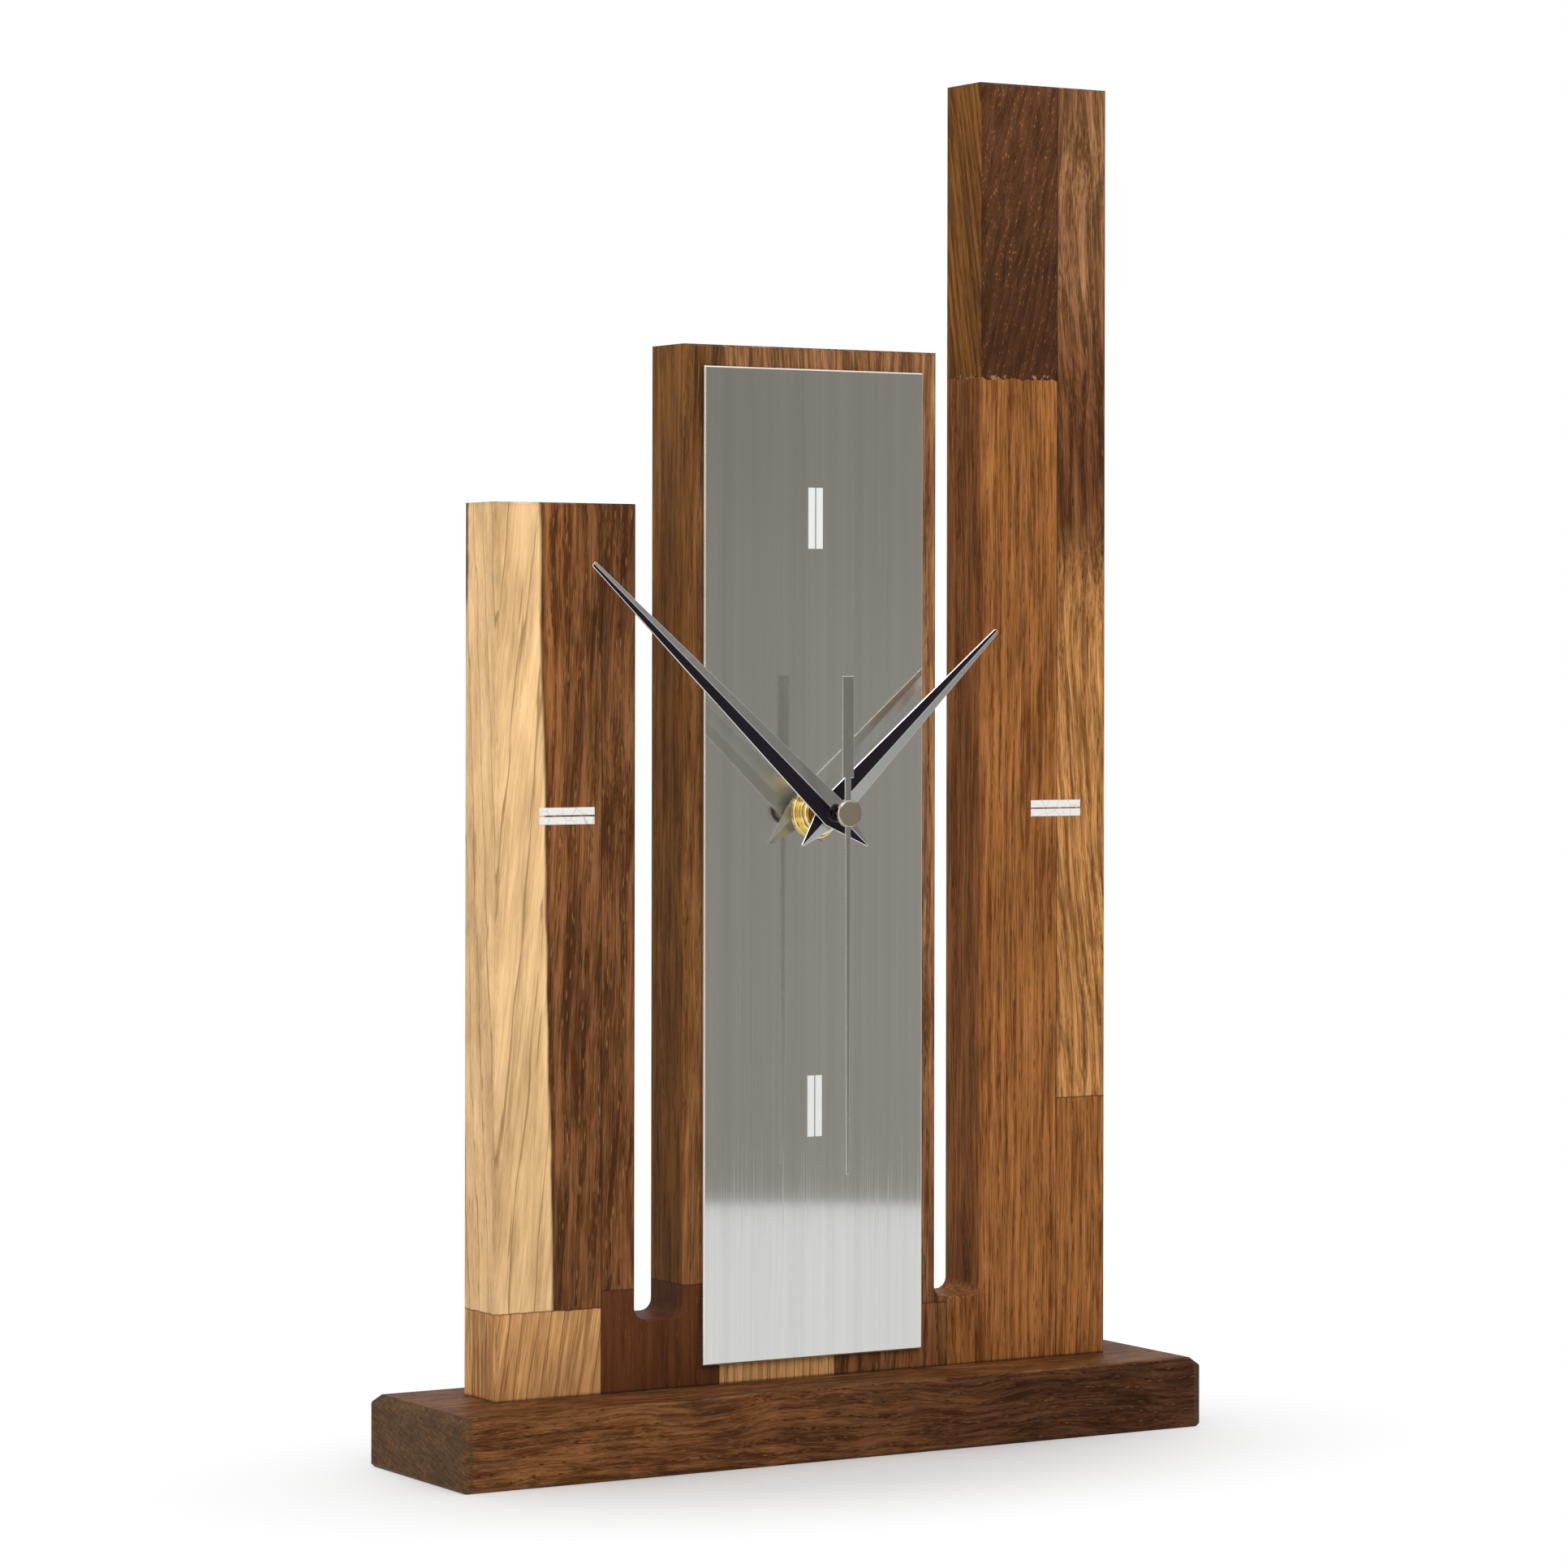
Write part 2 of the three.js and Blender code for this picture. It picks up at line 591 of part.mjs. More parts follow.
// Folded hand: a roof-shaped strip of sheet cut to a long kite, drawn pointing up
function foldedHand(name, hand, bore) {
  const tip = HAND_TIP_HALF_WIDTH;
  const tail = HAND_TAIL_HALF_WIDTH;
  const kite = polygon([
    [-tail, -hand.tail], [tail, -hand.tail], [HAND_HALF_WIDTH, 0],
    [tip, hand.length - HAND_TIP_CORNER], [tip - HAND_TIP_CORNER, hand.length],
    [HAND_TIP_CORNER - tip, hand.length], [-tip, hand.length - HAND_TIP_CORNER], [-HAND_HALF_WIDTH, 0],
  ]);
  const reach = HAND_RIDGE_RISE + HAND_SHEET + PAST;
  const cutToKite = foldedStrip(hand).intersect(slab(kite, -reach, reach));
  const body = cutToKite.subtract(rod(bore, -reach, reach, ROUND));
  const mesh = piece(name, body, polishedSteel());
  mesh.position.y = lifted(hand.lift);
  mesh.rotation.y = THREE.MathUtils.degToRad(hand.angle);
  return mesh;
}

// The strip's section: its ridge points to the front and its edges at the hub lie on y = 0
function foldedStrip(hand) {
  const wide = HAND_HALF_WIDTH + PAST;
  const edge = (HAND_RIDGE_RISE / HAND_HALF_WIDTH) * PAST;
  const section = polygon([
    [-wide, edge], [0, -HAND_RIDGE_RISE], [wide, edge],
    [wide, edge - HAND_SHEET], [0, -HAND_RIDGE_RISE - HAND_SHEET], [-wide, edge - HAND_SHEET],
  ]);
  return uprightBlock(section, -hand.tail - PAST, hand.length + PAST, 0);
}

function secondHand() {
  const blade = polygon([
    [-NEEDLE_TIP_HALF_WIDTH, -NEEDLE_LENGTH], [NEEDLE_TIP_HALF_WIDTH, -NEEDLE_LENGTH],
    [NEEDLE_ROOT_HALF_WIDTH, 0], [PADDLE_NECK_HALF_WIDTH, 0],
    [PADDLE_NECK_HALF_WIDTH, PADDLE_START], [PADDLE_HALF_WIDTH, PADDLE_START],
    [PADDLE_HALF_WIDTH, PADDLE_LENGTH], [-PADDLE_HALF_WIDTH, PADDLE_LENGTH],
    [-PADDLE_HALF_WIDTH, PADDLE_START], [-PADDLE_NECK_HALF_WIDTH, PADDLE_START],
    [-PADDLE_NECK_HALF_WIDTH, 0], [-NEEDLE_ROOT_HALF_WIDTH, 0],
  ]);
  const back = lifted(SECOND_HAND_LIFT);
  const front = back - SECOND_HAND_SHEET;
  return slab(blade, front, back).add(rod(SECOND_HUB_RADIUS, front, back, ROUND));
}

function secondCap() {
  const back = lifted(SECOND_HAND_LIFT + SECOND_HAND_SHEET);
  const front = back - CAP_THICKNESS;
  return turned([
    [0, front], [CAP_RADIUS - CAP_BEVEL, front], [CAP_RADIUS, front + CAP_BEVEL],
    [CAP_RADIUS, back], [0, back],
  ], FINE_ROUND);
}

// The tube behind the second hand grips the end of the long arbor
function secondTube() {
  const back = lifted(SECOND_TUBE_BACK_LIFT);
  return ring(SECOND_TUBE_RADIUS, ARBOR_RADIUS + PUSH_FIT, lifted(SECOND_HAND_LIFT), back, SMALL_ROUND);
}

// A collet: a flange behind the hand and a sleeve through it, pushed onto the pipe
function collet(pipeRadius, hand, backLift) {
  const bore = pipeRadius + PUSH_FIT;
  const sleeve = bore + COLLET_WALL;
  const shoulder = lifted(hand.lift - COLLET_SEAT);
  const front = lifted(hand.lift + HAND_RIDGE_RISE + HAND_SHEET);
  const back = lifted(backLift);
  return turned([
    [bore, front], [sleeve, front], [sleeve, shoulder], [COLLET_FLANGE_RADIUS, shoulder],
    [COLLET_FLANGE_RADIUS, back], [bore, back], [bore, front],
  ]);
}

function hourCollet() {
  return collet(HOUR_PIPE_RADIUS, HOUR_HAND, HOUR_COLLET_BACK_LIFT);
}

function minuteCollet() {
  return collet(MINUTE_PIPE_RADIUS, MINUTE_HAND, MINUTE_COLLET_BACK_LIFT);
}

function handBore(pipeRadius) {
  return pipeRadius + 2 * PUSH_FIT + COLLET_WALL;
}

// Flange and stepped nut on the front of the plate
function nutFlange() {
  return turned([
    [PLATE_HOLE_RADIUS, NUT_BACK], [FLANGE_RADIUS - FLANGE_BEVEL, NUT_BACK],
    [FLANGE_RADIUS, NUT_BACK + FLANGE_BEVEL], [FLANGE_RADIUS, PLATE_FACE],
    [PLATE_HOLE_RADIUS, PLATE_FACE], [PLATE_HOLE_RADIUS, NUT_BACK],
  ], FINE_ROUND);
}

function centreNut() {
  const front = NUT_BACK - NUT_THICKNESS;
  const step = front + NUT_STEP;
  const bore = BUSH_RADIUS + NUT_CLEARANCE;
  return turned([
    [bore, front], [NUT_STEP_RADIUS - NUT_BEVEL, front], [NUT_STEP_RADIUS, front + NUT_BEVEL],
    [NUT_STEP_RADIUS, step], [NUT_RADIUS - NUT_BEVEL, step], [NUT_RADIUS, step + NUT_BEVEL],
    [NUT_RADIUS, NUT_BACK], [bore, NUT_BACK], [bore, front],
  ], FINE_ROUND);
}

function rubberWasher() {
  return ring(RUBBER_WASHER_RADIUS, BUSH_FLANGE_RADIUS + NUT_CLEARANCE, POCKET_FLOOR, CASE_FRONT);
}

// Threaded bush, seated in the case's front wall
function movementBush() {
  const front = lifted(BUSH_FRONT_LIFT);
  const flange = CASE_FRONT - BUSH_FLANGE_THICKNESS;
  const back = deep(CASE_WALL);
  return turned([
    [BUSH_BORE, front], [BUSH_RADIUS, front], [BUSH_RADIUS, flange], [BUSH_FLANGE_RADIUS, flange],
    [BUSH_FLANGE_RADIUS, CASE_FRONT], [BUSH_RADIUS, CASE_FRONT], [BUSH_RADIUS, back],
    [BUSH_BORE, back], [BUSH_BORE, front],
  ]);
}

// Movement case: a tray with a gear room above and a battery bay below
function movementCase() {
  const corner = CASE_CORNER_RADIUS - CASE_WALL;
  const floor = deep(CASE_WALL);
  const back = deep(CASE_DEPTH + PAST);
  const outer = slab(roundedSquare(CASE_SIZE, CASE_CORNER_RADIUS), CASE_FRONT, deep(CASE_DEPTH));
  const gearRoom = slab(
    roundedRectangle(-CASE_INSIDE, CASE_INSIDE, GEAR_ROOM_FLOOR, CASE_INSIDE, corner), floor, back);
  const batteryBay = slab(
    roundedRectangle(-CASE_INSIDE, CASE_INSIDE, -CASE_INSIDE, BATTERY_BAY_TOP, corner), floor, back);
  const bushSeat = rod(BUSH_RADIUS + PUSH_FIT, CASE_FRONT - PAST, floor + PAST, ROUND);
  const body = outer.subtract(gearRoom).subtract(batteryBay).subtract(bushSeat);
  const pivotFloor = CASE_WALL - PIVOT_LENGTH - SHOULDER_GAP;
  return [REVERSER, THIRD].reduce(
    (rest, place) => rest.subtract(pivotHole(place, pivotFloor, CASE_WALL + PAST)), body);
}

function pivotHole(place, fromDepth, toDepth) {
  return rodAt(place, PIVOT_RADIUS + RUNNING_FIT, deep(fromDepth), deep(toDepth));
}

function arborHole(place, fromDepth, toDepth) {
  return rodAt(place, ARBOR_RADIUS + RUNNING_FIT, deep(fromDepth), deep(toDepth));
}

// Back cover over the gear room; the setting arbor passes through it
function movementCover() {
  const half = CASE_SIZE / 2;
  const outline = roundedRectangle(-half, half, BATTERY_BAY_TOP, half, CASE_WALL);
  const sheet = slab(outline, deep(CASE_DEPTH), deep(COVER_BACK_DEPTH));
  const pivotFloor = CASE_DEPTH + PIVOT_LENGTH + SHOULDER_GAP;
  const pierced = sheet.subtract(arborHole(REVERSER, CASE_DEPTH - PAST, COVER_BACK_DEPTH + PAST));
  return [CENTRE, INTERMEDIATE, ROTOR].reduce(
    (rest, place) => rest.subtract(pivotHole(place, CASE_DEPTH - PAST, pivotFloor)), pierced);
}

// Bridge between the two halves of the train, with legs to the case and posts for the stator
function trainBridge() {
  const outline = roundedRectangle(
    BRIDGE_LEFT, BRIDGE_RIGHT, BRIDGE_BOTTOM, BRIDGE_TOP, BRIDGE_CORNER_RADIUS);
  const sheet = slab(outline, deep(BRIDGE_DEPTH), deep(BRIDGE_DEPTH + BRIDGE_THICKNESS), 0, 1);
  const inSheet = deep(BRIDGE_DEPTH + BRIDGE_THICKNESS / 2);
  const legs = [BRIDGE_LEFT + BRIDGE_LEG_INSET, BRIDGE_RIGHT - BRIDGE_LEG_INSET].flatMap((x) =>
    [BRIDGE_BOTTOM + BRIDGE_LEG_INSET, BRIDGE_TOP - BRIDGE_LEG_INSET].map((z) =>
      rodAt({ x, z }, BRIDGE_LEG_RADIUS, deep(CASE_WALL), inSheet)));
  const postHeight = STATOR_TOP - STATOR_POST_INSET;
  const posts = [STATOR_LEFT + STATOR_POST_INSET, STATOR_RIGHT - STATOR_POST_INSET].map((x) =>
    rodAt({ x, z: postHeight }, STATOR_POST_RADIUS, inSheet, deep(STATOR_DEPTH)));
  const body = joined([sheet, ...legs, ...posts]);
  const through = [BRIDGE_DEPTH - PAST, BRIDGE_DEPTH + BRIDGE_THICKNESS + PAST];
  const holes = [
    ...[THIRD, INTERMEDIATE, ROTOR].map((place) => pivotHole(place, ...through)),
    ...[CENTRE, REVERSER].map((place) => arborHole(place, ...through)),
  ];
  return holes.reduce((rest, hole) => rest.subtract(hole), body);
}

// Stator: a flat frame around the rotor whose upper bar runs through the coil
function stator() {
  const front = deep(STATOR_DEPTH);
  const back = deep(STATOR_DEPTH + STATOR_THICKNESS);
  const outline = polygon([
    [STATOR_LEFT, STATOR_BOTTOM],
    [ROTOR.x + STATOR_HOLE_RADIUS, STATOR_BOTTOM],
    [ROTOR.x + STATOR_HOLE_RADIUS + STATOR_BAR_WIDTH / 2, ROTOR.z],
    [STATOR_RIGHT, STATOR_WINDOW_BOTTOM - STATOR_BAR_WIDTH],
    [STATOR_RIGHT, STATOR_TOP],
    [STATOR_LEFT, STATOR_TOP],
  ]);
  const window = box(STATOR_LEFT + STATOR_WINDOW_INSET, STATOR_RIGHT - STATOR_WINDOW_INSET, front - PAST,
    back + PAST, STATOR_WINDOW_BOTTOM, STATOR_TOP - STATOR_BAR_WIDTH);
  const rotorHole = rodAt(ROTOR, STATOR_HOLE_RADIUS, front - PAST, back + PAST, ROUND);
  return slab(outline, front, back).subtract(window).subtract(rotorHole);
}

function coil() {
  const end = COIL_LENGTH / 2;
  const winding = end - COIL_FLANGE_THICKNESS;
  const bobbin = turned([
    [0, -end], [COIL_FLANGE_RADIUS, -end], [COIL_FLANGE_RADIUS, -winding], [COIL_RADIUS, -winding],
    [COIL_RADIUS, winding], [COIL_FLANGE_RADIUS, winding], [COIL_FLANGE_RADIUS, end], [0, end],
  ]).rotate([0, 0, -90]);
  const halfDepth = STATOR_THICKNESS / 2 + COIL_BORE_CLEARANCE;
  const halfHeight = STATOR_BAR_WIDTH / 2 + COIL_BORE_CLEARANCE;
  const bore = box(-COIL_LENGTH, COIL_LENGTH, -halfDepth, halfDepth, -halfHeight, halfHeight);
  const middleDepth = deep(STATOR_DEPTH + STATOR_THICKNESS / 2);
  const middleHeight = STATOR_TOP - STATOR_BAR_WIDTH / 2;
  return bobbin.subtract(bore).translate([COIL_MIDDLE, middleDepth, middleHeight]);
}

// Circuit board: a sheet on the inside of the back cover, with the chip's drop of resin on it
function circuitBoard() {
  const { left, right, bottom, top, thickness } = CIRCUIT_BOARD;
  const back = deep(CASE_DEPTH);
  const front = back - thickness;
  const sheet = box(left, right, front, back, bottom, top);
  return sheet.add(rodAt(CHIP, CHIP.radius, front - CHIP.height, front + thickness / 2));
}

// The crystal's can lies along the front of the circuit board
function crystal() {
  const { x, z, radius, length, gap } = CRYSTAL;
  const geometry = new THREE.CylinderGeometry(radius, radius, length, SMALL_ROUND);
  geometry.rotateX(Math.PI / 2);
  const depth = CASE_DEPTH - CIRCUIT_BOARD.thickness - radius - gap;
  return solid(geometry).translate([x, deep(depth), z]);
}

// Battery contacts: a plate on each end wall of the bay with a tongue to the battery
function batteryContact(side) {
  const wall = CASE_INSIDE;
  const inner = wall - CONTACT_THICKNESS;
  const y = deep(BATTERY_DEPTH);
  const z = BATTERY_HEIGHT;
  const plate = box(inner, wall, y - CONTACT_HALF_WIDTH, y + CONTACT_HALF_WIDTH,
    z - CONTACT_HALF_HEIGHT, z + CONTACT_HALF_HEIGHT);
  const half = CONTACT_TONGUE_HALF_WIDTH;
  const tongue = box(BATTERY_LENGTH / 2, wall, y - half, y + half, z - half, z + half);
  return side > 0 ? plate.add(tongue) : plate.add(tongue).mirror([1, 0, 0]);
}

function battery() {
  const end = BATTERY_LENGTH / 2;
  const shoulder = end - BATTERY_NUB_LENGTH;
  return turned([
    [0, -end], [BATTERY_RADIUS - BATTERY_EDGE, -end], [BATTERY_RADIUS, BATTERY_EDGE - end],
    [BATTERY_RADIUS, shoulder - BATTERY_EDGE], [BATTERY_RADIUS - BATTERY_EDGE, shoulder],
    [BATTERY_NUB_RADIUS, shoulder], [BATTERY_NUB_RADIUS, end], [0, end],
  ]).rotate([0, 0, -90]).translate([0, deep(BATTERY_DEPTH), BATTERY_HEIGHT]);
}

// Wheels and pinions: straight-sided teeth, the first one standing at the given angle
function gear(teeth, pitchRadius, tooth, firstTooth, layer) {
  const modulus = (2 * pitchRadius) / teeth;
  const tipRadius = pitchRadius + TOOTH_ADDENDUM * modulus;
  const rootRadius = pitchRadius - TOOTH_DEDENDUM * modulus;
  const corners = [
    [rootRadius, -tooth.root], [tipRadius, -tooth.tip], [tipRadius, tooth.tip], [rootRadius, tooth.root],
  ];
  const outline = polygon(aroundCircle(corners, teeth, firstTooth));
  return slab(outline, deep(layer.from), deep(layer.to));
}

// Corners given as [radius, share of the pitch], repeated once for each tooth or rib
function aroundCircle(corners, count, firstAngle) {
  const pitchAngle = (2 * Math.PI) / count;
  const points = [];
  for (let index = 0; index < count; index += 1) {
    for (const [radius, share] of corners) {
      const angle = firstAngle + (index + share) * pitchAngle;
      points.push([radius * Math.cos(angle), radius * Math.sin(angle)]);
    }
  }
  return points;
}

// The pitch radius of a gear that shares a centre distance with another
function pitchRadius(distance, teeth, otherTeeth) {
  return (distance * teeth) / (teeth + otherTeeth);
}

// Each wheel has a tooth on the line to its pinion, and the pinion has a gap there
function gearWheel(teeth, pinionTeeth, distance, place, pinionPlace, layer) {
  const radius = pitchRadius(distance, teeth, pinionTeeth);
  return gear(teeth, radius, WHEEL_TOOTH, bearingFrom(place, pinionPlace), layer);
}

function gearPinion(teeth, wheelTeeth, distance, place, wheelPlace, layer) {
  const radius = pitchRadius(distance, teeth, wheelTeeth);
  return gear(teeth, radius, PINION_LEAF, bearingFrom(place, wheelPlace) + Math.PI / teeth, layer);
}

// Arbor with a pivot at each end that the wall or bridge there carries
function arbor(shoulderFront, shoulderBack, pivotFront, pivotBack) {
  return rod(ARBOR_RADIUS, deep(shoulderFront), deep(shoulderBack))
    .add(rod(PIVOT_RADIUS, deep(pivotFront), deep(pivotBack)));
}

// Hour wheel with its pipe through the bush
function hourWheel() {
  const front = lifted(HOUR_PIPE_FRONT_LIFT);
  const wheel = gearWheel(
    HOUR_TEETH, REVERSER_PINION_TEETH, CENTRE_TO_REVERSER, CENTRE, REVERSER, HOUR_LAYER);
  const pipe = rod(HOUR_PIPE_RADIUS, front, deep(HOUR_LAYER.to), ROUND);
  const bore = rod(HOUR_PIPE_BORE, front - PAST, deep(HOUR_LAYER.to + PAST), ROUND);
  return wheel.add(pipe).subtract(bore);
}

// Minute pipe with the cannon pinion; the centre wheel grips its neck by friction
function minutePipe() {
  const front = lifted(MINUTE_PIPE_FRONT_LIFT);
  const back = deep(CLUTCH_LAYER.to + 2 * SHOULDER_GAP);
  const pipe = turned([
    [0, front], [MINUTE_PIPE_RADIUS, front], [MINUTE_PIPE_RADIUS, deep(CLUTCH_LAYER.from)],
    [MINUTE_PIPE_NECK, deep(CLUTCH_LAYER.from)], [MINUTE_PIPE_NECK, deep(CLUTCH_LAYER.to)],
    [MINUTE_PIPE_RADIUS, deep(CLUTCH_LAYER.to)], [MINUTE_PIPE_RADIUS, back], [0, back],
  ]);
  const pinion = gearPinion(
    CANNON_TEETH, REVERSER_TEETH, CENTRE_TO_REVERSER, CENTRE, REVERSER, CANNON_LAYER);
  return pipe.add(pinion).subtract(rod(MINUTE_PIPE_BORE, front - PAST, back + PAST));
}

function centreWheel() {
  const wheel = gearWheel(
    CENTRE_TEETH, THIRD_PINION_TEETH, CENTRE_TO_THIRD, CENTRE, THIRD, CENTRE_LAYER);
  const hubFront = deep(CLUTCH_LAYER.from + SHOULDER_GAP);
  const hub = rod(CENTRE_HUB_RADIUS, hubFront, deep(CENTRE_LAYER.to), ROUND);
  const boreRadius = MINUTE_PIPE_NECK + RUNNING_FIT;
  const bore = rod(boreRadius, hubFront - PAST, deep(CENTRE_LAYER.to) + PAST, ROUND);
  return wheel.add(hub).subtract(bore);
}

// Reverser wheel: the cannon pinion drives it, it drives the hour wheel and it carries the knob
function reverserWheel() {
  const foot = CASE_WALL + SHOULDER_GAP;
  return joined([
    gearWheel(REVERSER_TEETH, CANNON_TEETH, CENTRE_TO_REVERSER, REVERSER, CENTRE, REVERSER_LAYER),
    gearPinion(
      REVERSER_PINION_TEETH, HOUR_TEETH, CENTRE_TO_REVERSER, REVERSER, CENTRE, REVERSER_PINION_LAYER),
    arbor(foot, COVER_BACK_DEPTH + KNOB_GAP, foot - PIVOT_LENGTH, foot + SHOULDER_GAP),
  ]);
}

function settingKnob() {
  const front = deep(COVER_BACK_DEPTH + KNOB_GAP);
  const corners = [
    [KNOB_RADIUS, -KNOB_RIB_HALF_WIDTH], [KNOB_RADIUS, KNOB_RIB_HALF_WIDTH],
    [KNOB_RADIUS - KNOB_GROOVE, 0.5],
  ];
  const outline = polygon(aroundCircle(corners, KNOB_RIBS, 0));
  return slab(outline, front, front + KNOB_THICKNESS, KNOB_BEVEL);
}

function thirdWheel() {
  const foot = CASE_WALL + SHOULDER_GAP;
  return joined([
    gearWheel(THIRD_TEETH, SECOND_PINION_TEETH, CENTRE_TO_THIRD, THIRD, CENTRE, THIRD_LAYER),
    gearPinion(THIRD_PINION_TEETH, CENTRE_TEETH, CENTRE_TO_THIRD, THIRD, CENTRE, THIRD_PINION_LAYER),
    arbor(foot, BRIDGE_DEPTH - SHOULDER_GAP, foot - PIVOT_LENGTH, BRIDGE_DEPTH + BRIDGE_THICKNESS),
  ]);
}

// Second wheel on the long arbor that carries the second hand
function secondWheel() {
  const shoulder = CASE_DEPTH - SHOULDER_GAP;
  return joined([
    gearWheel(
      SECOND_TEETH, INTERMEDIATE_PINION_TEETH, CENTRE_TO_INTERMEDIATE, CENTRE, INTERMEDIATE,
      SECOND_LAYER),
    gearPinion(SECOND_PINION_TEETH, THIRD_TEETH, CENTRE_TO_THIRD, CENTRE, THIRD, SECOND_PINION_LAYER),
    rod(ARBOR_RADIUS, lifted(ARBOR_FRONT_LIFT), deep(shoulder)),
    rod(PIVOT_RADIUS, deep(shoulder - PAST), deep(shoulder + PIVOT_LENGTH)),
  ]);
}

function intermediateWheel() {
  return joined([
    gearWheel(
      INTERMEDIATE_TEETH, ROTOR_PINION_TEETH, INTERMEDIATE_TO_ROTOR, INTERMEDIATE, ROTOR,
      INTERMEDIATE_LAYER),
    gearPinion(
      INTERMEDIATE_PINION_TEETH, SECOND_TEETH, CENTRE_TO_INTERMEDIATE, INTERMEDIATE, CENTRE,
      INTERMEDIATE_PINION_LAYER),
    bridgeArbor(),
  ]);
}

function rotor() {
  return joined([
    gearPinion(
      ROTOR_PINION_TEETH, INTERMEDIATE_TEETH, INTERMEDIATE_TO_ROTOR, ROTOR, INTERMEDIATE,
      ROTOR_PINION_LAYER),
    rod(MAGNET_RADIUS, deep(MAGNET_LAYER.from), deep(MAGNET_LAYER.to), ROUND),
    bridgeArbor(),
  ]);
}

// An arbor that runs between the bridge and the back cover
function bridgeArbor() {
  const foot = BRIDGE_DEPTH + BRIDGE_THICKNESS + SHOULDER_GAP;
  const shoulder = CASE_DEPTH - SHOULDER_GAP;
  return arbor(foot, shoulder, BRIDGE_DEPTH, shoulder + PIVOT_LENGTH);
}

// Everything that stands on or turns about the dial's axis
function dialGroup() {
  const group = new THREE.Group();
  group.position.z = DIAL_AXIS_HEIGHT;
  group.add(
    ...markers(),
    piece('nut_flange', nutFlange(), polishedBrass()),
    piece('centre_nut', centreNut(), polishedBrass()),
    piece('rubber_washer', rubberWasher(), blackRubber()),
    piece('movement_bush', movementBush(), turnedBrass()),
    piece('movement_case', movementCase(), blackPlastic()),
    piece('movement_cover', movementCover(), blackPlastic()),
    piece('train_bridge', trainBridge(), whitePlastic()),
    piece('stator', stator(), platedSteel()),
    piece('coil', coil(), copperWire()),
    piece('circuit_board', circuitBoard(), greenLaminate()),
    piece('crystal', crystal(), platedSteel()),
    piece('contact_negative', batteryContact(-1), platedSteel()),
    piece('contact_positive', batteryContact(1), platedSteel()),
    piece('battery', battery(), blueJacket()),
    piece('rotor', rotor(), magnetGrey(), ROTOR),
    piece('intermediate_wheel', intermediateWheel(), whitePlastic(), INTERMEDIATE),
    piece('second_wheel', secondWheel(), whitePlastic()),
    piece('third_wheel', thirdWheel(), whitePlastic(), THIRD),
    piece('centre_wheel', centreWheel(), whitePlastic()),
    piece('minute_pipe', minutePipe(), turnedBrass()),
    piece('reverser_wheel', reverserWheel(), whitePlastic(), REVERSER),
    piece('setting_knob', settingKnob(), whitePlastic(), REVERSER),
    piece('hour_wheel', hourWheel(), whitePlastic()),
    piece('hour_collet', hourCollet(), turnedBrass()),
    foldedHand('hour_hand', HOUR_HAND, handBore(HOUR_PIPE_RADIUS)),
    piece('minute_collet', minuteCollet(), turnedBrass()),
    foldedHand('minute_hand', MINUTE_HAND, handBore(MINUTE_PIPE_RADIUS)),
    piece('second_tube', secondTube(), polishedSteel()),
    piece('second_hand', secondHand(), polishedSteel()),
    piece('second_cap', secondCap(), polishedSteel()),
  );
  return group;
}

function boardGroup() {
  const group = new THREE.Group();
  group.position.set(BOARD_SIDE_SHIFT, BOARD_FRONT, PLINTH_HEIGHT);
  group.add(
    ...staves(),
    piece('dial_film', dialFilm(), darkFilm()),
    piece('dial_plate', dialPlate(), brushedSteel()),
    dialGroup(),
  );
  return group;
}

const clock = new THREE.Group();
clock.name = 'table_clock';
clock.add(piece('plinth', plinth(), darkOak()), ...screws(), boardGroup());

export default clock;
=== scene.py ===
"""Table clock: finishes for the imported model, with a studio floor, lamps and a camera.
Metres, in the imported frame: X runs to the right of the dial, -Y to the front and Z up."""

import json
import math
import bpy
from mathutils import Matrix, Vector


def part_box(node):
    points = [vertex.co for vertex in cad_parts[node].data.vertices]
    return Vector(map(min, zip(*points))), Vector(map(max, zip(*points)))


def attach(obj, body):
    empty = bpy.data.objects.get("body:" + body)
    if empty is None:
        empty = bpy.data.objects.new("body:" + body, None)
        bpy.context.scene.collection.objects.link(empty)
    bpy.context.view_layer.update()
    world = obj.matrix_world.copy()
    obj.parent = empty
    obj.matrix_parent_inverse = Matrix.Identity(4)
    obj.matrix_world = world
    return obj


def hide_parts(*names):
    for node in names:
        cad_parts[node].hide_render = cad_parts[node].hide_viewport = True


bl_info = {
    "name": "Table clock finishes",
    "version": (1, 0, 0),
    "blender": (4, 5, 0),
    "location": "3D View > Sidebar > Table clock",
    "description": "Oak, brushed steel, polished hands and a movement for the packed table clock",
    "category": "Object",
}

import bmesh
import bpy
from mathutils import Euler, Quaternion, Vector

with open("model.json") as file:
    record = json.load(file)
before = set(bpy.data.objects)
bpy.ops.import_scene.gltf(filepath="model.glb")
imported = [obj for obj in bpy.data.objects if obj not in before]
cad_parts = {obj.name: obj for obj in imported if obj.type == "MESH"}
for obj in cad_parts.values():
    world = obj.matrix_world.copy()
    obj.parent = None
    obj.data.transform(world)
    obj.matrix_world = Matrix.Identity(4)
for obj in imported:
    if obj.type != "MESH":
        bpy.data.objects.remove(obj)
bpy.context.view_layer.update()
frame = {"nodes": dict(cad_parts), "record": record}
NODES = frame["nodes"]
MM = 0.001

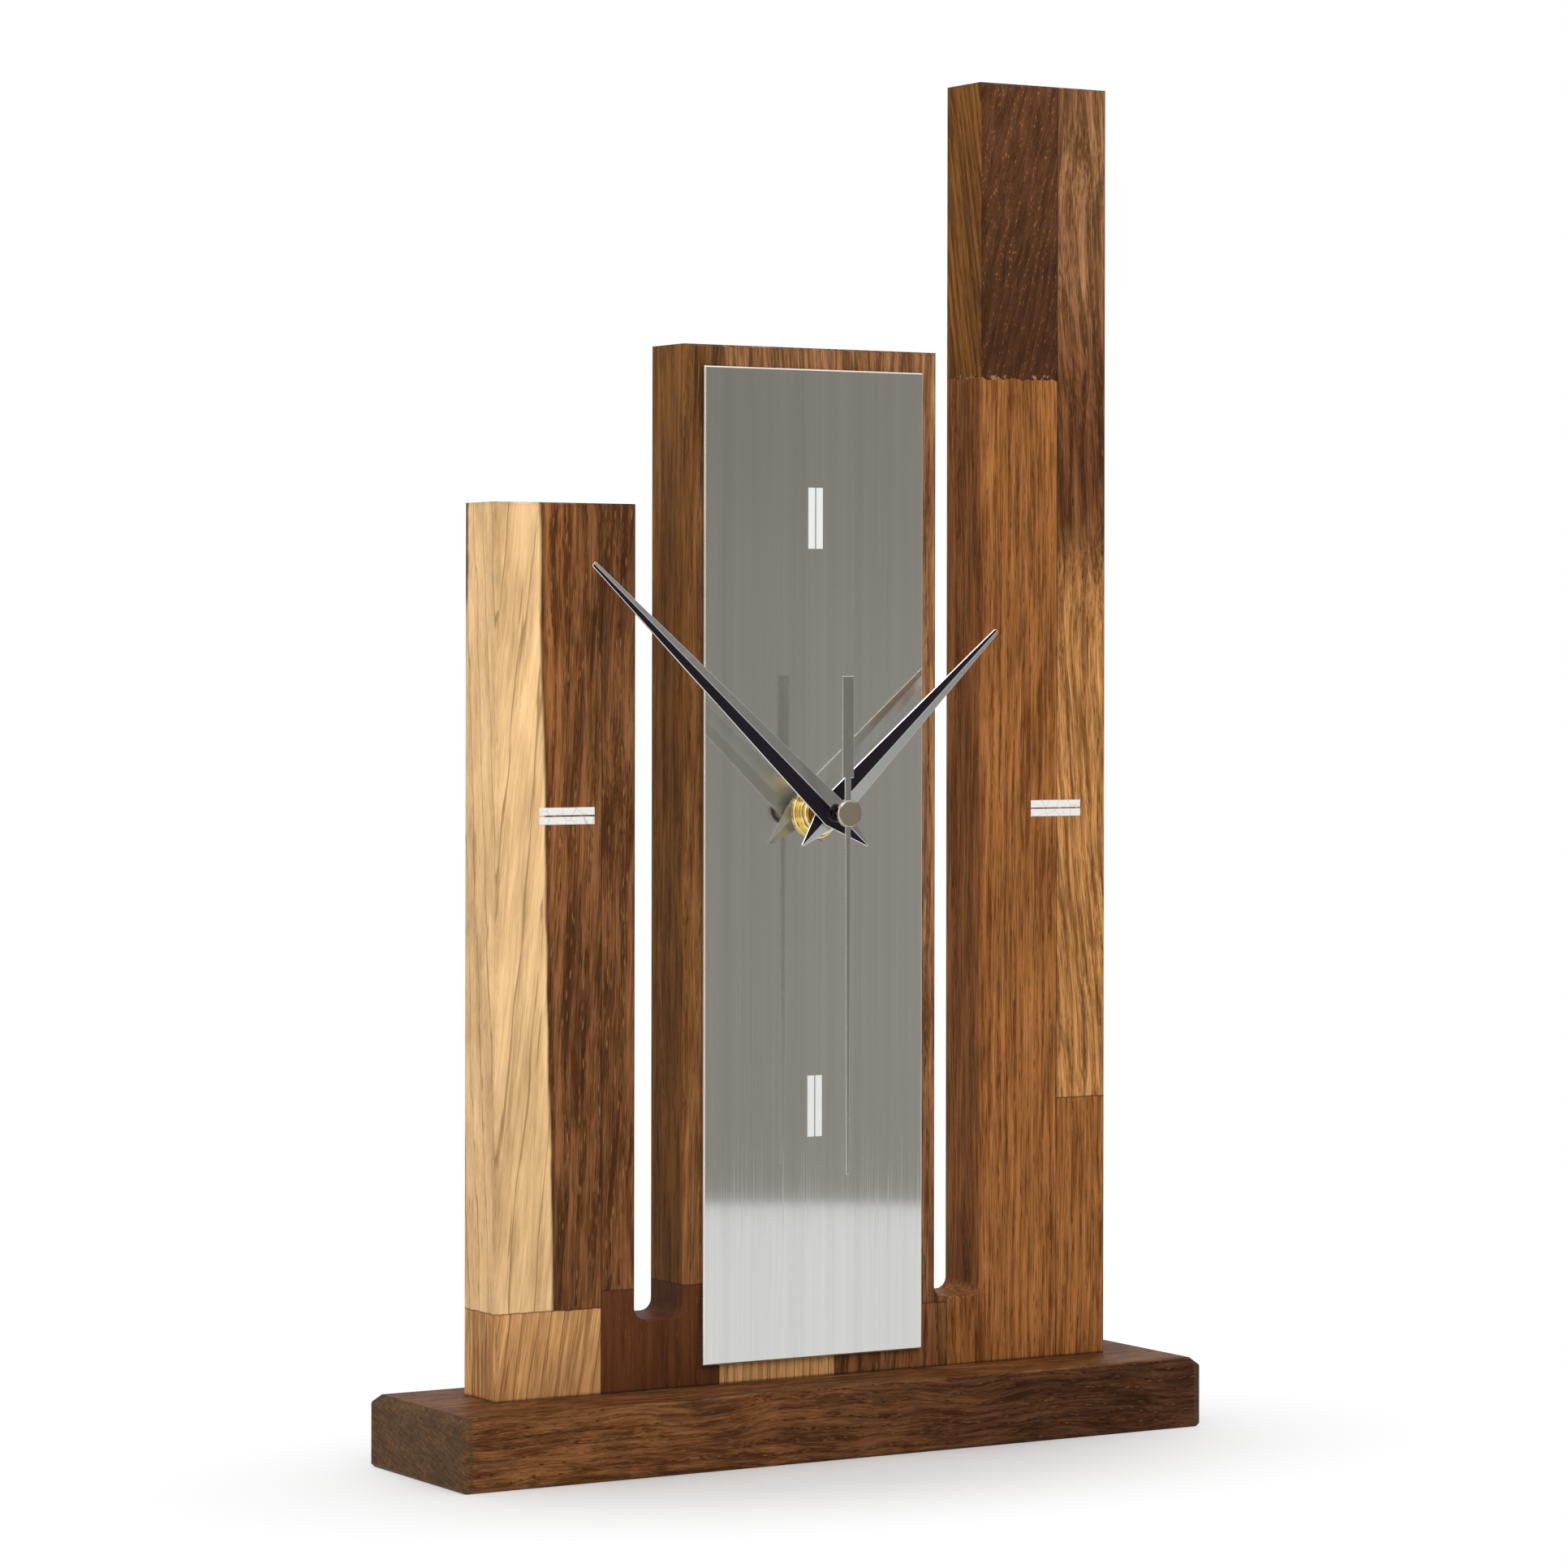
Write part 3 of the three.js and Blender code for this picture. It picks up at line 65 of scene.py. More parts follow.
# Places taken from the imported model, in millimetres
AXIS_X, PLATE_FACE, AXIS_Z = 1.6, -6.0, 161.6
AXIS_POINT = (AXIS_X, PLATE_FACE, AXIS_Z)
BACKWARD = (0, 1, 0)
PLINTH_TOP = 18.0
FIRST_JOINT, STAVE_WIDTH = -59.4, 34.0
LEFT_TOWER = ((-88.9, -4.5, 18), (-49.65, 12.5, 239))
CENTRE_TOWER = ((-35.9, -4.5, 18), (39.1, 12.5, 279.5))
RIGHT_TOWER = ((52.85, -4.5, 18), (92.1, 12.5, 350.3))

# Sizes of what is made here, in millimetres
SHANK_RADIUS, SCREW_HEAD_DEPTH, SCREW_TIP = 2.0, 2.4, 3.0
RECESS_REACH, RECESS_HALF_WIDTH, RECESS_DEPTH = 2.1, 0.42, 1.5
COLLET_WALL, COLLET_SHOULDER = 0.5, 3.2
CAP_BACK, CAP_RADIUS = -16.1, 3.5
CASE_EDGE = 0.25
DISH_RADIUS, DISH_DEPTH = 2.9, 0.45
KNOB_SLOT_REACH, KNOB_SLOT_HALF_WIDTH, KNOB_SLOT_DEPTH = 2.3, 0.4, 0.95
KNOB_RING = (5.5, 6.3)
ARROW_RING = (7.6, 8.5)
ARROW_START, ARROW_TURN, ARROW_STEPS = 195, 140, 16
SIGN_INSET, SIGN_HEIGHT, SIGN_REACH, SIGN_HALF_WIDTH = 6.0, 3.2, 1.6, 0.35
RIBS, RIB_SPACING = 4, 2.6
SLEEVE_BAND = 11.0

# Turned profiles, as (distance from the dial's axis, distance behind the plate's face)
FLANGE_PROFILE = ((4.2, 0), (6.8, 0), (6.8, -0.65), (6.55, -0.9), (4.2, -0.9))
NUT_PROFILE = ((4.05, -0.9), (5.45, -0.9), (5.45, -1.25), (5.8, -1.45), (5.8, -2.55),
               (5.45, -2.8), (5.0, -2.8), (5.0, -3.3), (4.65, -3.6), (4.05, -3.6))

# Stage, in metres and degrees
FLOOR_RADIUS = 8.0
WALL_START, WALL_TURN, WALL_STEPS = -48, 163, 64
WALL_FOOT = 0.001
LAMP_TARGET = (0, 0, 0.15)
KEY_PLACE, KEY_SIZE = (-0.3, -1.4, 1.55), 1.3
FILL_PLACE, FILL_SIZE = (-1.5, -0.35, 0.9), 1.0
CAMERA_PLACE = (-0.66893, -1.10542, 0.20057)
CAMERA_ROLL, CAMERA_SHIFT = 0.097, -0.08

# Dark lines between blocks of wood and between staves, and a painted shadow line where the board
# stands on the plinth, as linear colours
GAP_TONE = (0.02, 0.012, 0.007)
GLUE_AND_SHADOW_TONE = (0.018, 0.011, 0.007)


def linear(red, green, blue):
    """A colour as a screen shows it, 0 to 255, in the linear values that shaders take."""
    shares = (red / 255, green / 255, blue / 255)
    return tuple(s / 12.92 if s <= 0.04045 else ((s + 0.055) / 1.055) ** 2.4 for s in shares)


def colour(name, description, red, green, blue):
    return bpy.props.FloatVectorProperty(
        name=name, description=description, subtype="COLOR", size=3, min=0, max=1,
        default=linear(red, green, blue))


def length(name, description, millimetres):
    return bpy.props.FloatProperty(
        name=name, description=description, unit="LENGTH", subtype="DISTANCE",
        default=millimetres * MM, min=0, precision=5)


def number(name, description, default, **kind):
    return bpy.props.FloatProperty(name=name, description=description, default=default, **kind)


class OakColours(bpy.types.PropertyGroup):
    """Middle tone of each kind of oak in the board and plinth"""
    sapwood: colour("Sapwood", "Pale outer wood of the left tower", 234, 194, 142)
    tan: colour("Tan oak", "Blocks at the foot of the board", 209, 158, 103)
    golden: colour("Golden oak", "Long block of the right tower", 154, 99, 52)
    brown: colour("Brown heartwood", "Inner side of the left tower", 120, 78, 45)
    olive: colour("Olive heartwood", "Sides of the middle tower", 130, 88, 50)
    umber: colour("Umber heartwood", "Left sides of the middle and right towers", 134, 87, 36)
    red: colour("Red heartwood", "Block under the left slot", 101, 59, 32)
    smoked: colour("Smoked oak", "Block on top of the right tower", 78, 48, 29)
    streaked: colour("Streaked oak", "Dark part of the right tower's outer stave", 121, 77, 46)
    amber: colour("Amber oak", "Pale part of the right tower's outer stave", 192, 136, 79)
    hazel: colour("Hazel oak", "Tops of the middle tower and of the right outer stave", 158, 112, 75)
    plinth: colour("Plinth oak", "Plinth", 119, 77, 44)
    shadow: colour("Dark streak", "Dark streaks in the grain", 52, 33, 22)
    fleck: colour("Fleck", "Pale pores and flecks", 176, 130, 84)


class MetalColours(bpy.types.PropertyGroup):
    """Reflected colour of each metal"""
    steel: colour("Brushed steel", "Dial plate", 207, 208, 205)
    hand: colour("Polished aluminium", "Hands", 178, 180, 178)
    # Near-white colour: on the bevelled edges a painted highlight over their real reflection; also
    # the colour of the hands' satin backs
    edge: colour("Bright edge", "Edges of the hands and plate", 245, 246, 244)
    # Near-black facet of the hour and minute hands: a painted reflection of dark surroundings
    dark_facet: colour("Dark facet", "Dark facet of the hour and minute hands", 26, 20, 28)
    burnished: colour("Burnished steel", "Collet and pipe of the minute hand", 92, 90, 88)
    cap: colour("Cap", "Cap over the axis", 188, 178, 162)
    brass: colour("Polished brass", "Nut, flange and hour collet", 247, 224, 156)
    turned_brass: colour("Turned brass", "Bush of the movement", 196, 158, 84)
    plated: colour("Plated steel", "Screws, contacts, battery end and stator", 184, 182, 174)
    copper: colour("Copper wire", "Coil", 184, 104, 62)
    magnet: colour("Magnet", "Rotor", 92, 92, 98)


class PlasticColours(bpy.types.PropertyGroup):
    """Colours of the plastics, rubber, film and foil"""
    case: colour("Case", "Movement case and cover", 34, 34, 36)
    marks: colour("Moulded marks", "Raised marks on the back cover", 48, 48, 50)
    wheels: colour("Wheels", "Wheels, bridge and setting knob", 226, 223, 212)
    foil: colour("Marker foil", "Hour markers", 240, 240, 236)
    film: colour("Adhesive film", "Film behind the dial plate", 40, 36, 34)
    rubber: colour("Rubber", "Washer behind the board", 24, 24, 24)
    laminate: colour("Laminate", "Circuit board", 40, 92, 54)
    jacket: colour("Battery jacket", "Battery", 36, 58, 100)
    band: colour("Battery band", "Band at the battery's positive end", 198, 198, 194)


class ClockSizes(bpy.types.PropertyGroup):
    """Small sizes of the finishes"""
    hand_edge: length("Hand edge", "Width of the bright edges of the hands", 0.13)
    plate_edge: length("Plate edge", "Width of the bright edges of the dial plate", 0.18)
    sheet_edge: length("Sheet edge", "Width of the bright edges of the second hand", 0.1)
    turned_edge: length("Turned edge", "Radius of the edges of turned pieces", 0.12)
    glue_line: length("Glue line", "Half width of the joints between staves", 0.12)
    round_steps: bpy.props.IntProperty(
        name="Round steps", description="Faces round a turned piece", default=96, min=24, max=256)


class StudioSettings(bpy.types.PropertyGroup):
    """Camera, lamps and the grey wall that polished metal mirrors"""
    lens: number("Lens", "Focal length", 116.43, unit="CAMERA", min=20)
    bearing: number("Bearing", "Camera's turn from the dial's normal", math.radians(31.026),
                    subtype="ANGLE")
    wall_radius: length("Wall radius", "Distance of the wall that metal mirrors", 575)
    wall_height: length("Wall height", "Height of the wall that metal mirrors", 480)
    wall: colour("Wall", "Grey of the wall that metal mirrors", 161, 157, 151)
    ambient: number("Ambient", "Strength of the light from all round", 0.62, min=0)
    key_power: number("Key lamp", "Power of the large lamp", 15, min=0, unit="POWER")
    fill_power: number("Fill lamp", "Power of the lamp on the left", 2.5, min=0, unit="POWER")


# Node trees

class Value:
    """A node's output. Sums and products of values add nodes to their tree."""

    def __init__(self, wires, socket):
        self.wires = wires
        self.socket = socket

    def __add__(self, other):
        return calculate("ADD", self, other)

    def __sub__(self, other):
        return calculate("SUBTRACT", self, other)

    def __mul__(self, other):
        return calculate("MULTIPLY", self, other)

    def __truediv__(self, other):
        return calculate("DIVIDE", self, other)

    def __abs__(self):
        return calculate("ABSOLUTE", self)

    def smooth(self, low, high, to_low=0.0, to_high=1.0):
        """A soft step from to_low to to_high while this value goes from low to high."""
        feeds = {0: self, 1: low, 2: high, 3: to_low, 4: to_high}
        return self.wires.outputs("MapRange", feeds, interpolation_type="SMOOTHSTEP")[0]

    def clamped(self):
        """The result of the last sum or product, held between 0 and 1."""
        self.socket.node.use_clamp = True
        return self

    def parts(self):
        """X, Y and Z."""
        return self.wires.outputs("SeparateXYZ", {0: self})


class Wiring:
    """Adds nodes to a tree. They are fed with numbers, vectors, colours, values or shaders."""

    def __init__(self, tree):
        self.tree = tree

    def node(self, kind, feeds, **settings):
        prefix = "" if kind.startswith("NodeGroup") else "ShaderNode"
        made = self.tree.nodes.new(prefix + kind)
        made.location = (180 * len(self.tree.nodes), 0)
        for name, value in settings.items():
            setattr(made, name, value)
        for socket, value in feeds.items():
            self.feed(made.inputs[socket], value)
        return made

    def outputs(self, kind, feeds, **settings):
        return [Value(self, socket) for socket in self.node(kind, feeds, **settings).outputs]

    def feed(self, socket, value):
        source = getattr(value, "socket", value)
        if isinstance(source, bpy.types.NodeSocket):
            self.tree.links.new(source, socket)
        elif socket.type == "RGBA":
            socket.default_value = (*tuple(value)[:3], 1.0)
        elif socket.type == "VECTOR" and not isinstance(value, tuple):
            socket.default_value = (value, value, value)
        else:
            socket.default_value = value

    def effect(self, build, **feeds):
        """The outputs of one of the shared node groups, which is built when first used."""
        name = build.__name__.replace("_", " ").capitalize()
        tree = bpy.data.node_groups.get(name) or build(name)
        return self.outputs("Group", feeds, node_tree=tree)


def wiring_of(*values):
    """The wiring of the tree that the values are in."""
    return next(value.wires for value in values if isinstance(value, Value))


def is_vector(value):
    return isinstance(value, tuple) or isinstance(value, Value) and value.socket.type == "VECTOR"


def calculate(operation, *values):
    """Math on values, or Vector Math where one of them is a vector."""
    kind = "VectorMath" if any(is_vector(value) for value in values) else "Math"
    feeds = dict(enumerate(values))
    return wiring_of(*values).outputs(kind, feeds, operation=operation)[0]


def larger(first, second):
    return calculate("MAXIMUM", first, second)


def smaller(first, second):
    return calculate("MINIMUM", first, second)


def distance_from_axis(across, up):
    return calculate("SQRT", across * across + up * up)


def join(x, y, z):
    return wiring_of(x, y, z).outputs("CombineXYZ", {0: x, 1: y, 2: z})[0]


def noise(place, stretch, detail=2.0, roughness=0.5, output=0):
    """Noise that changes as fast as stretch per millimetre; output 1 is its colour."""
    feeds = {"Vector": place * stretch, "Scale": 1.0, "Detail": detail, "Roughness": roughness}
    return place.wires.outputs("TexNoise", feeds)[output]


def cells(place, stretch, feature="F1"):
    """Distance within scattered cells, and a random colour for each cell."""
    feeds = {"Vector": place * stretch, "Scale": 1.0}
    return place.wires.outputs("TexVoronoi", feeds, feature=feature)[:2]


def mix(share, below, above, blend="MIX"):
    """One colour over another, where share is 1."""
    feeds = {0: share, 6: below, 7: above}
    wires = wiring_of(share, below, above)
    return wires.outputs("Mix", feeds, data_type="RGBA", blend_type=blend)[2]


def between(share, below, above):
    """One number over another, where share is 1."""
    feeds = {0: share, 2: below, 3: above}
    return wiring_of(share, below, above).outputs("Mix", feeds, data_type="FLOAT")[0]


def layered(share, below, above):
    """One surface over another, where share is 1."""
    (tint, *others), (top_tint, *top_others) = below, above
    return [mix(share, tint, top_tint),
            *(between(share, low, high) for low, high in zip(others, top_others))]


def tinted(tint, amount):
    """A colour times a number."""
    grey = amount if isinstance(amount, Value) else (amount, amount, amount)
    return mix(1.0, tint, grey, "MULTIPLY")


# Shared effects, each a node group that is built once and named after its function

SURFACE = ("Color", "Roughness", "Height")


def effect_group(name, outputs, vectors, colours, numbers):
    """A new node group: its inputs as values by name, and a function that sets its outputs."""
    tree = bpy.data.node_groups.new(name, "ShaderNodeTree")
    for kind, labels in (("Vector", vectors), ("Color", colours), ("Float", numbers)):
        for label in labels.split():
            tree.interface.new_socket(name=label, in_out="INPUT", socket_type=f"NodeSocket{kind}")
    for label in outputs:
        kind = "Color" if label == "Color" else "Float"
        tree.interface.new_socket(name=label, in_out="OUTPUT", socket_type=f"NodeSocket{kind}")
    wires = Wiring(tree)
    given = {value.socket.name: value for value in wires.outputs("NodeGroupInput", {})}
    end = wires.node("NodeGroupOutput", {})

    def give(*values):
        for socket, value in zip(end.inputs, values):
            wires.feed(socket, value)
        return tree

    return given, give


def oak_grain(name):
    """Growth rings, fibres, mottling, pores and flecks; the grain runs along Z."""
    given, give = effect_group(
        name, SURFACE, "Place Centre", "Wood Streak Fleck",
        "Lean Wave Ring Rings Lines Figure Mottle Streaks Pores Flecks Seed")
    seed = given["Seed"]
    offset = join(seed * 17.3, seed * 31.7, seed * 53.9)
    x, y, z = given["Place"].parts()
    upright = join(x - z * given["Lean"], y, z)
    wander = noise(upright + offset, (0.035, 0.035, 0.009), output=1) - (0.5, 0.5, 0.5)
    reach = given["Wave"] * 5.0
    along = upright + wander * join(reach, reach, 0.0)
    place = along + offset

    across, deep, _ = (along - given["Centre"]).parts()
    uneven = noise(place, (0.25, 0.25, 0.02)) * 1.1
    years = distance_from_axis(across, deep) / given["Ring"] + uneven
    season = calculate("FRACT", years)
    early = season.smooth(0.0, 0.1) * season.smooth(0.66, 0.16)
    ring_line = season.smooth(0.0, 0.03) * season.smooth(0.13, 0.05)

    mottle = noise(place, (0.16, 0.16, 0.03), 3, 0.55)
    figure = noise(place, (0.8, 0.8, 0.035), 3, 0.6)
    fibre = noise(place, (3.4, 3.4, 0.09), 4, 0.7)
    streak = noise(place, (0.42, 0.42, 0.022), 5, 0.7).smooth(0.5, 0.64)
    distance, chance = cells(place, (1.9, 1.9, 0.24))
    pick = chance.parts()[0]
    dash = distance.smooth(0.4, 0.22) * between(early, 0.12, 1.0)
    pore = (dash * pick.smooth(0.6, 0.55) * given["Pores"]).clamped()
    fleck = (dash * pick.smooth(0.66, 0.7) * given["Flecks"]).clamped()
    distance, chance = cells(place, (0.75, 0.75, 0.018))
    crack = distance.smooth(0.2, 0.08) * chance.parts()[0].smooth(0.5, 0.44)
    line = (larger(crack, ring_line * figure.smooth(0.36, 0.48)) * given["Lines"]).clamped()

    tone = (figure - 0.5) * given["Figure"] + 0.5
    tone = (fibre - 0.5) * (given["Figure"] * 1.35) + tone
    tone = (mottle - 0.5) * given["Mottle"] + tone
    tone = (tone - early * given["Rings"]).clamped()
    dark = mix(1.0, given["Wood"], (0.42, 0.36, 0.3), "MULTIPLY")
    light = mix(1.0, given["Wood"], (1.5, 1.52, 1.54), "MULTIPLY")
    tint = mix(tone, dark, light)
    tint = mix((streak * given["Streaks"]).clamped(), tint, given["Streak"])
    tint = mix(line, tint, dark)
    tint = mix(pore, tint, tinted(dark, 0.55))
    tint = mix(fleck, tint, given["Fleck"])
    return give(tint, pore * 0.25 + (fibre * 0.2 + 0.42), fibre * 0.35 - pore * 0.7 - line * 0.7)


def butt_joint(name):
    """The joint between two blocks of a stave, one above the other."""
    given, give = effect_group(name, ("Above", "Line", "Chips"), "Place", "", "Level Wave")
    place = given["Place"]
    wobble = noise(place, (0.28, 0.28, 0.05), 3) - 0.5
    over = place.parts()[2] - (wobble * given["Wave"] + given["Level"])
    near = abs(over - 0.4).smooth(0.8, 0.3)
    torn = noise(place, (0.6, 0.6, 0.5)).smooth(0.56, 0.62)
    return give(over.smooth(-0.1, 0.1), abs(over).smooth(0.3, 0.05), near * torn)


def box_edges(name):
    """Nearness to the edges of an upright box, broken up as wear is."""
    given, give = effect_group(name, ("Edge",), "Place Low High", "", "Width")
    place = given["Place"]
    sides = zip((place - given["Low"]).parts(), (given["High"] - place).parts())
    first, second, third = (larger(smaller(low, high), 0.0) for low, high in sides)
    middle = larger(smaller(first, second), smaller(larger(first, second), third))
    uneven = noise(place, (0.5, 0.5, 0.12), 3) * 1.4 + 0.3
    return give(middle.smooth(given["Width"] * uneven, 0.0))


def worked_metal(name):
    """Fine lines left by brushing, turning or polishing; stretch sets their direction."""
    given, give = effect_group(name, SURFACE, "Place Stretch", "Metal", "Shade Polish Rough")
    stretched = given["Place"] * given["Stretch"]
    lines = noise(stretched, 1.0, 3, 0.7)
    shade = (lines - 0.5) * 1.4 + (noise(stretched, 0.06) - 0.5)
    roughness = between(lines.smooth(0.52, 0.72), given["Polish"], given["Rough"])
    return give(tinted(given["Metal"], shade * given["Shade"] + 1.0), roughness, lines)


def moulded_skin(name):
    """Fine matt grain of moulded plastic, rubber or card, with faint handling marks."""
    given, give = effect_group(name, SURFACE, "Place", "Tint", "Grain Rough Shade")
    grain = noise(given["Place"], given["Grain"], 3, 0.6)
    cloud = noise(given["Place"], 0.09, 3, 0.55) - 0.5
    amount = (grain - 0.5) * 0.12 + (cloud * given["Shade"] + 1.0)
    return give(tinted(given["Tint"], amount), cloud * 0.25 + given["Rough"], grain)


# Materials

def cleared(owner):
    """The wiring of a material or world, with its nodes taken out."""
    owner.use_nodes = True
    owner.node_tree.nodes.clear()
    return Wiring(owner.node_tree)


def new_material(name):
    """A material, and the point on the object in millimetres as a value in its tree."""
    made = bpy.data.materials.new(name)
    wires = cleared(made)
    return made, Value(wires, wires.node("TexCoord", {}).outputs["Object"]) * 1000


def principled(surface, bump, depth, **constants):
    """A shader fed with a surface's colour, roughness and height, and with plain values."""
    tint, roughness, height = surface
    wires = wiring_of(tint)
    relief = wires.node("Bump", {"Strength": bump, "Distance": depth * MM, "Height": height})
    shader = wires.node("BsdfPrincipled", {"Base Color": tint, "Roughness": roughness,
                                           "Normal": relief.outputs[0]})
    for name, value in constants.items():
        shader.inputs[name.replace("_", " ")].default_value = value
    return shader.outputs[0]


def shaded(material, surface, bump, depth, **constants):
    """The material, finished with a shader."""
    shader = principled(surface, bump, depth, **constants)
    wiring_of(*surface).node("OutputMaterial", {"Surface": shader})
    return material


# Grain of each kind of oak. Centre is the middle of its rings, Lean its slope across the stave.
GRAINS = {
    "sapwood": dict(Centre=(-190, -120, 0), Lean=0.1, Wave=0.6, Ring=4.2, Rings=0.06, Lines=0.85,
                    Figure=0.55, Mottle=0.9, Streaks=0.08, Pores=0.15, Seed=1, streak="tan"),
    "tan": dict(Centre=(-260, -90, 0), Lean=0.16, Wave=0.3, Ring=3.3, Rings=0.18, Lines=1.0,
                Figure=1.1, Mottle=0.8, Streaks=0.15, Pores=0.25, Seed=2, streak="golden"),
    "golden": dict(Centre=(-160, 60, 0), Wave=0.8, Ring=2.2, Rings=0.18, Lines=0.3, Figure=2.0,
                   Mottle=1.1, Streaks=0.22, Pores=0.7, Flecks=0.35, Seed=3, streak="brown"),
    "brown": dict(Centre=(-20, 60, 0), Lean=0.03, Wave=1.8, Ring=2.6, Rings=0.25, Lines=0.4,
                  Figure=2.2, Mottle=2.2, Streaks=0.6, Pores=0.85, Flecks=0.5, Seed=4),
    "olive": dict(Centre=(60, 50, 0), Lean=0.02, Wave=1.0, Ring=2.4, Rings=0.15, Lines=0.2,
                  Figure=1.7, Mottle=1.3, Streaks=0.3, Pores=0.6, Flecks=0.3, Seed=5),
    "red": dict(Centre=(-60, 40, 0), Wave=0.6, Ring=2.2, Rings=0.1, Lines=0.15, Figure=0.8,
                Mottle=0.5, Streaks=0.2, Pores=0.45, Flecks=0.15, Seed=6),
    "smoked": dict(Centre=(-60, -40, 0), Lean=0.15, Wave=3.0, Ring=4.4, Rings=-0.3, Lines=0.0,
                   Figure=1.3, Mottle=0.9, Streaks=0.2, Pores=0.2, Flecks=1.3, Seed=7),
    "streaked": dict(Centre=(150, 40, 0), Lean=-0.05, Wave=2.8, Ring=2.8, Rings=0.3, Lines=0.6,
                     Figure=1.9, Mottle=1.3, Streaks=0.5, Pores=0.85, Flecks=0.3, Seed=8),
    "plinth": dict(Centre=(-60, -50, 0), Wave=2.4, Ring=2.0, Rings=0.2, Lines=0.6, Figure=2.0,
                   Mottle=1.7, Streaks=0.5, Pores=0.9, Flecks=0.2, Seed=9),
}


def oak(place, kind, **changes):
    """The grain of one block of oak, as a surface."""
    tones = bpy.context.scene.clock_oak
    grain = {"Wood": getattr(tones, kind), "Fleck": tones.fleck, "Lean": 0.0, "Flecks": 0.0,
             "streak": "shadow", **GRAINS[kind], **changes}
    grain["Streak"] = getattr(tones, grain.pop("streak"))
    return place.wires.effect(oak_grain, Place=place, **grain)


def stacked(place, level, foot, top, wave, chips=0.0):
    """Two blocks of a stave with the joint between them."""
    above, line, chipped = place.wires.effect(butt_joint, Place=place, Level=level, Wave=wave)
    tint, roughness, height = layered(above, foot, top)
    tint = mix(line * 0.6, tint, GAP_TONE)
    tint = mix(chipped * chips, tint, bpy.context.scene.clock_oak.fleck)
    return tint, roughness, height - line


def stave_material(name, tower, draw):
    """Oak of one stave; draw gives its blocks, and joints, worn edges and painted shade at the foot
    go over them.
    """
    made, place = new_material(name)
    x, _, z = place.parts()
    tint, roughness, height = draw(place, bpy.context.scene.clock_oak)
    half_line = bpy.context.scene.clock_sizes.glue_line / MM
    offset = calculate("PINGPONG", (x - FIRST_JOINT) / STAVE_WIDTH, 0.5) * STAVE_WIDTH
    glue = offset.smooth(half_line * 1.6, half_line * 0.3)
    # Painted shadow: a dark line just above the plinth's top, where the stave stands on it
    foot = z.smooth(PLINTH_TOP + 0.7, PLINTH_TOP + 0.15)
    low, high = tower
    [edge] = place.wires.effect(box_edges, Place=place, Low=low, High=high, Width=1.3)
    tint = mix(edge * 0.35, tint, tinted(tint, 0.62))
    tint = mix(larger(glue, foot) * 0.7, tint, GLUE_AND_SHADOW_TONE)
    surface = tint, roughness - edge * 0.1, height - glue * 1.2
    return shaded(made, surface, 0.4, 0.12, Specular_IOR_Level=0.05)


def left_side(x, tower):
    """1 on the side face at the left of a tower."""
    edge = tower[0][0]
    return x.smooth(edge + 0.25, edge + 0.1)


def left_outer_blocks(place, tones):
    """Pale sapwood beside brown heartwood, on a tan block."""
    x, y, z = place.parts()
    wobble = noise(place, (0.22, 0.1, 0.03), 4, 0.6) - 0.5
    inside = x - (wobble * 2.2 + (z * -0.019 - 72.6))
    behind = (y - (wobble * 5.0 + (z * -0.05 + 22.0))).smooth(-0.4, 1.2)
    heart = larger(inside.smooth(-0.4, 0.7), behind)
    warm = z.smooth(60, 200) * inside.smooth(18, 2)
    tint, *core = oak(place, "brown", Wood=mix(warm * 0.5, tones.brown, tones.golden))
    core = mix(inside.smooth(2.4, 0.3) * 0.55, tint, tones.shadow), *core
    tint, *pale = oak(place, "sapwood")
    pale = tinted(tint, z.smooth(60, 200, 1.03, 1.14)), *pale
    foot = layered(left_side(x, LEFT_TOWER), oak(place, "tan"),
                   oak(place, "tan", Seed=22, Lean=0, Figure=2.2, Mottle=1.6, Streaks=0.7))
    return stacked(place, 39.5, foot, layered(heart, pale, core), 0.8)


def left_inner_blocks(place, tones):
    """Brown heartwood left of the slot and olive right of it, on a red block."""
    x, _, z = place.parts()
    front = tinted(tones.olive, z.smooth(60, 230, 1.3, 0.92))
    wood = mix(left_side(x, CENTRE_TOWER), front, tones.umber)
    top = layered(x.smooth(-45.0, -42.0), oak(place, "brown", Seed=14),
                  oak(place, "olive", Wood=wood))
    return stacked(place, 43.6, oak(place, "red"), top, 0.5)


def rising_blocks(place, tones, level, foot, **changes):
    """Wood that turns paler towards the top of the middle tower, on another block."""
    wood = mix(place.parts()[2].smooth(20, 200, 0.4, 1.0), tones.streaked, tones.hazel)
    return stacked(place, level, foot, oak(place, "streaked", Wave=1.2, Wood=wood, **changes),
                   0.6)


def centre_left_blocks(place, tones):
    """Red-brown heartwood on a tan block, both mostly behind the plate."""
    return rising_blocks(place, tones, 60, oak(place, "tan", Seed=12, Lean=0.02, Ring=2.4), Seed=15)


def centre_right_blocks(place, tones):
    """Golden wood on a dark block."""
    return rising_blocks(place, tones, 34.5, oak(place, "brown", Seed=16, Streaks=0.3), Seed=13,
                         Lean=0.0)


def right_inner_blocks(place, tones):
    """A long golden block under a smoked one, with a torn joint and a paler side at the top."""
    x, y, z = place.parts()
    tint, *smoked = oak(place * (1.9, 1.9, 3.1), "smoked", Fleck=tones.golden)
    smoked = tinted(tint, z.smooth(285, 342, 0.9, 1.4)), *smoked
    slope = oak(join(y, x, z), "olive", Seed=21, Lean=0.2, Rings=0.35, Lines=0.6, Wave=2.0,
                Wood=tones.umber)
    top = layered(left_side(x, RIGHT_TOWER), smoked, slope)
    return stacked(place, 273.6, oak(place, "golden"), top, 3.0, 0.9)


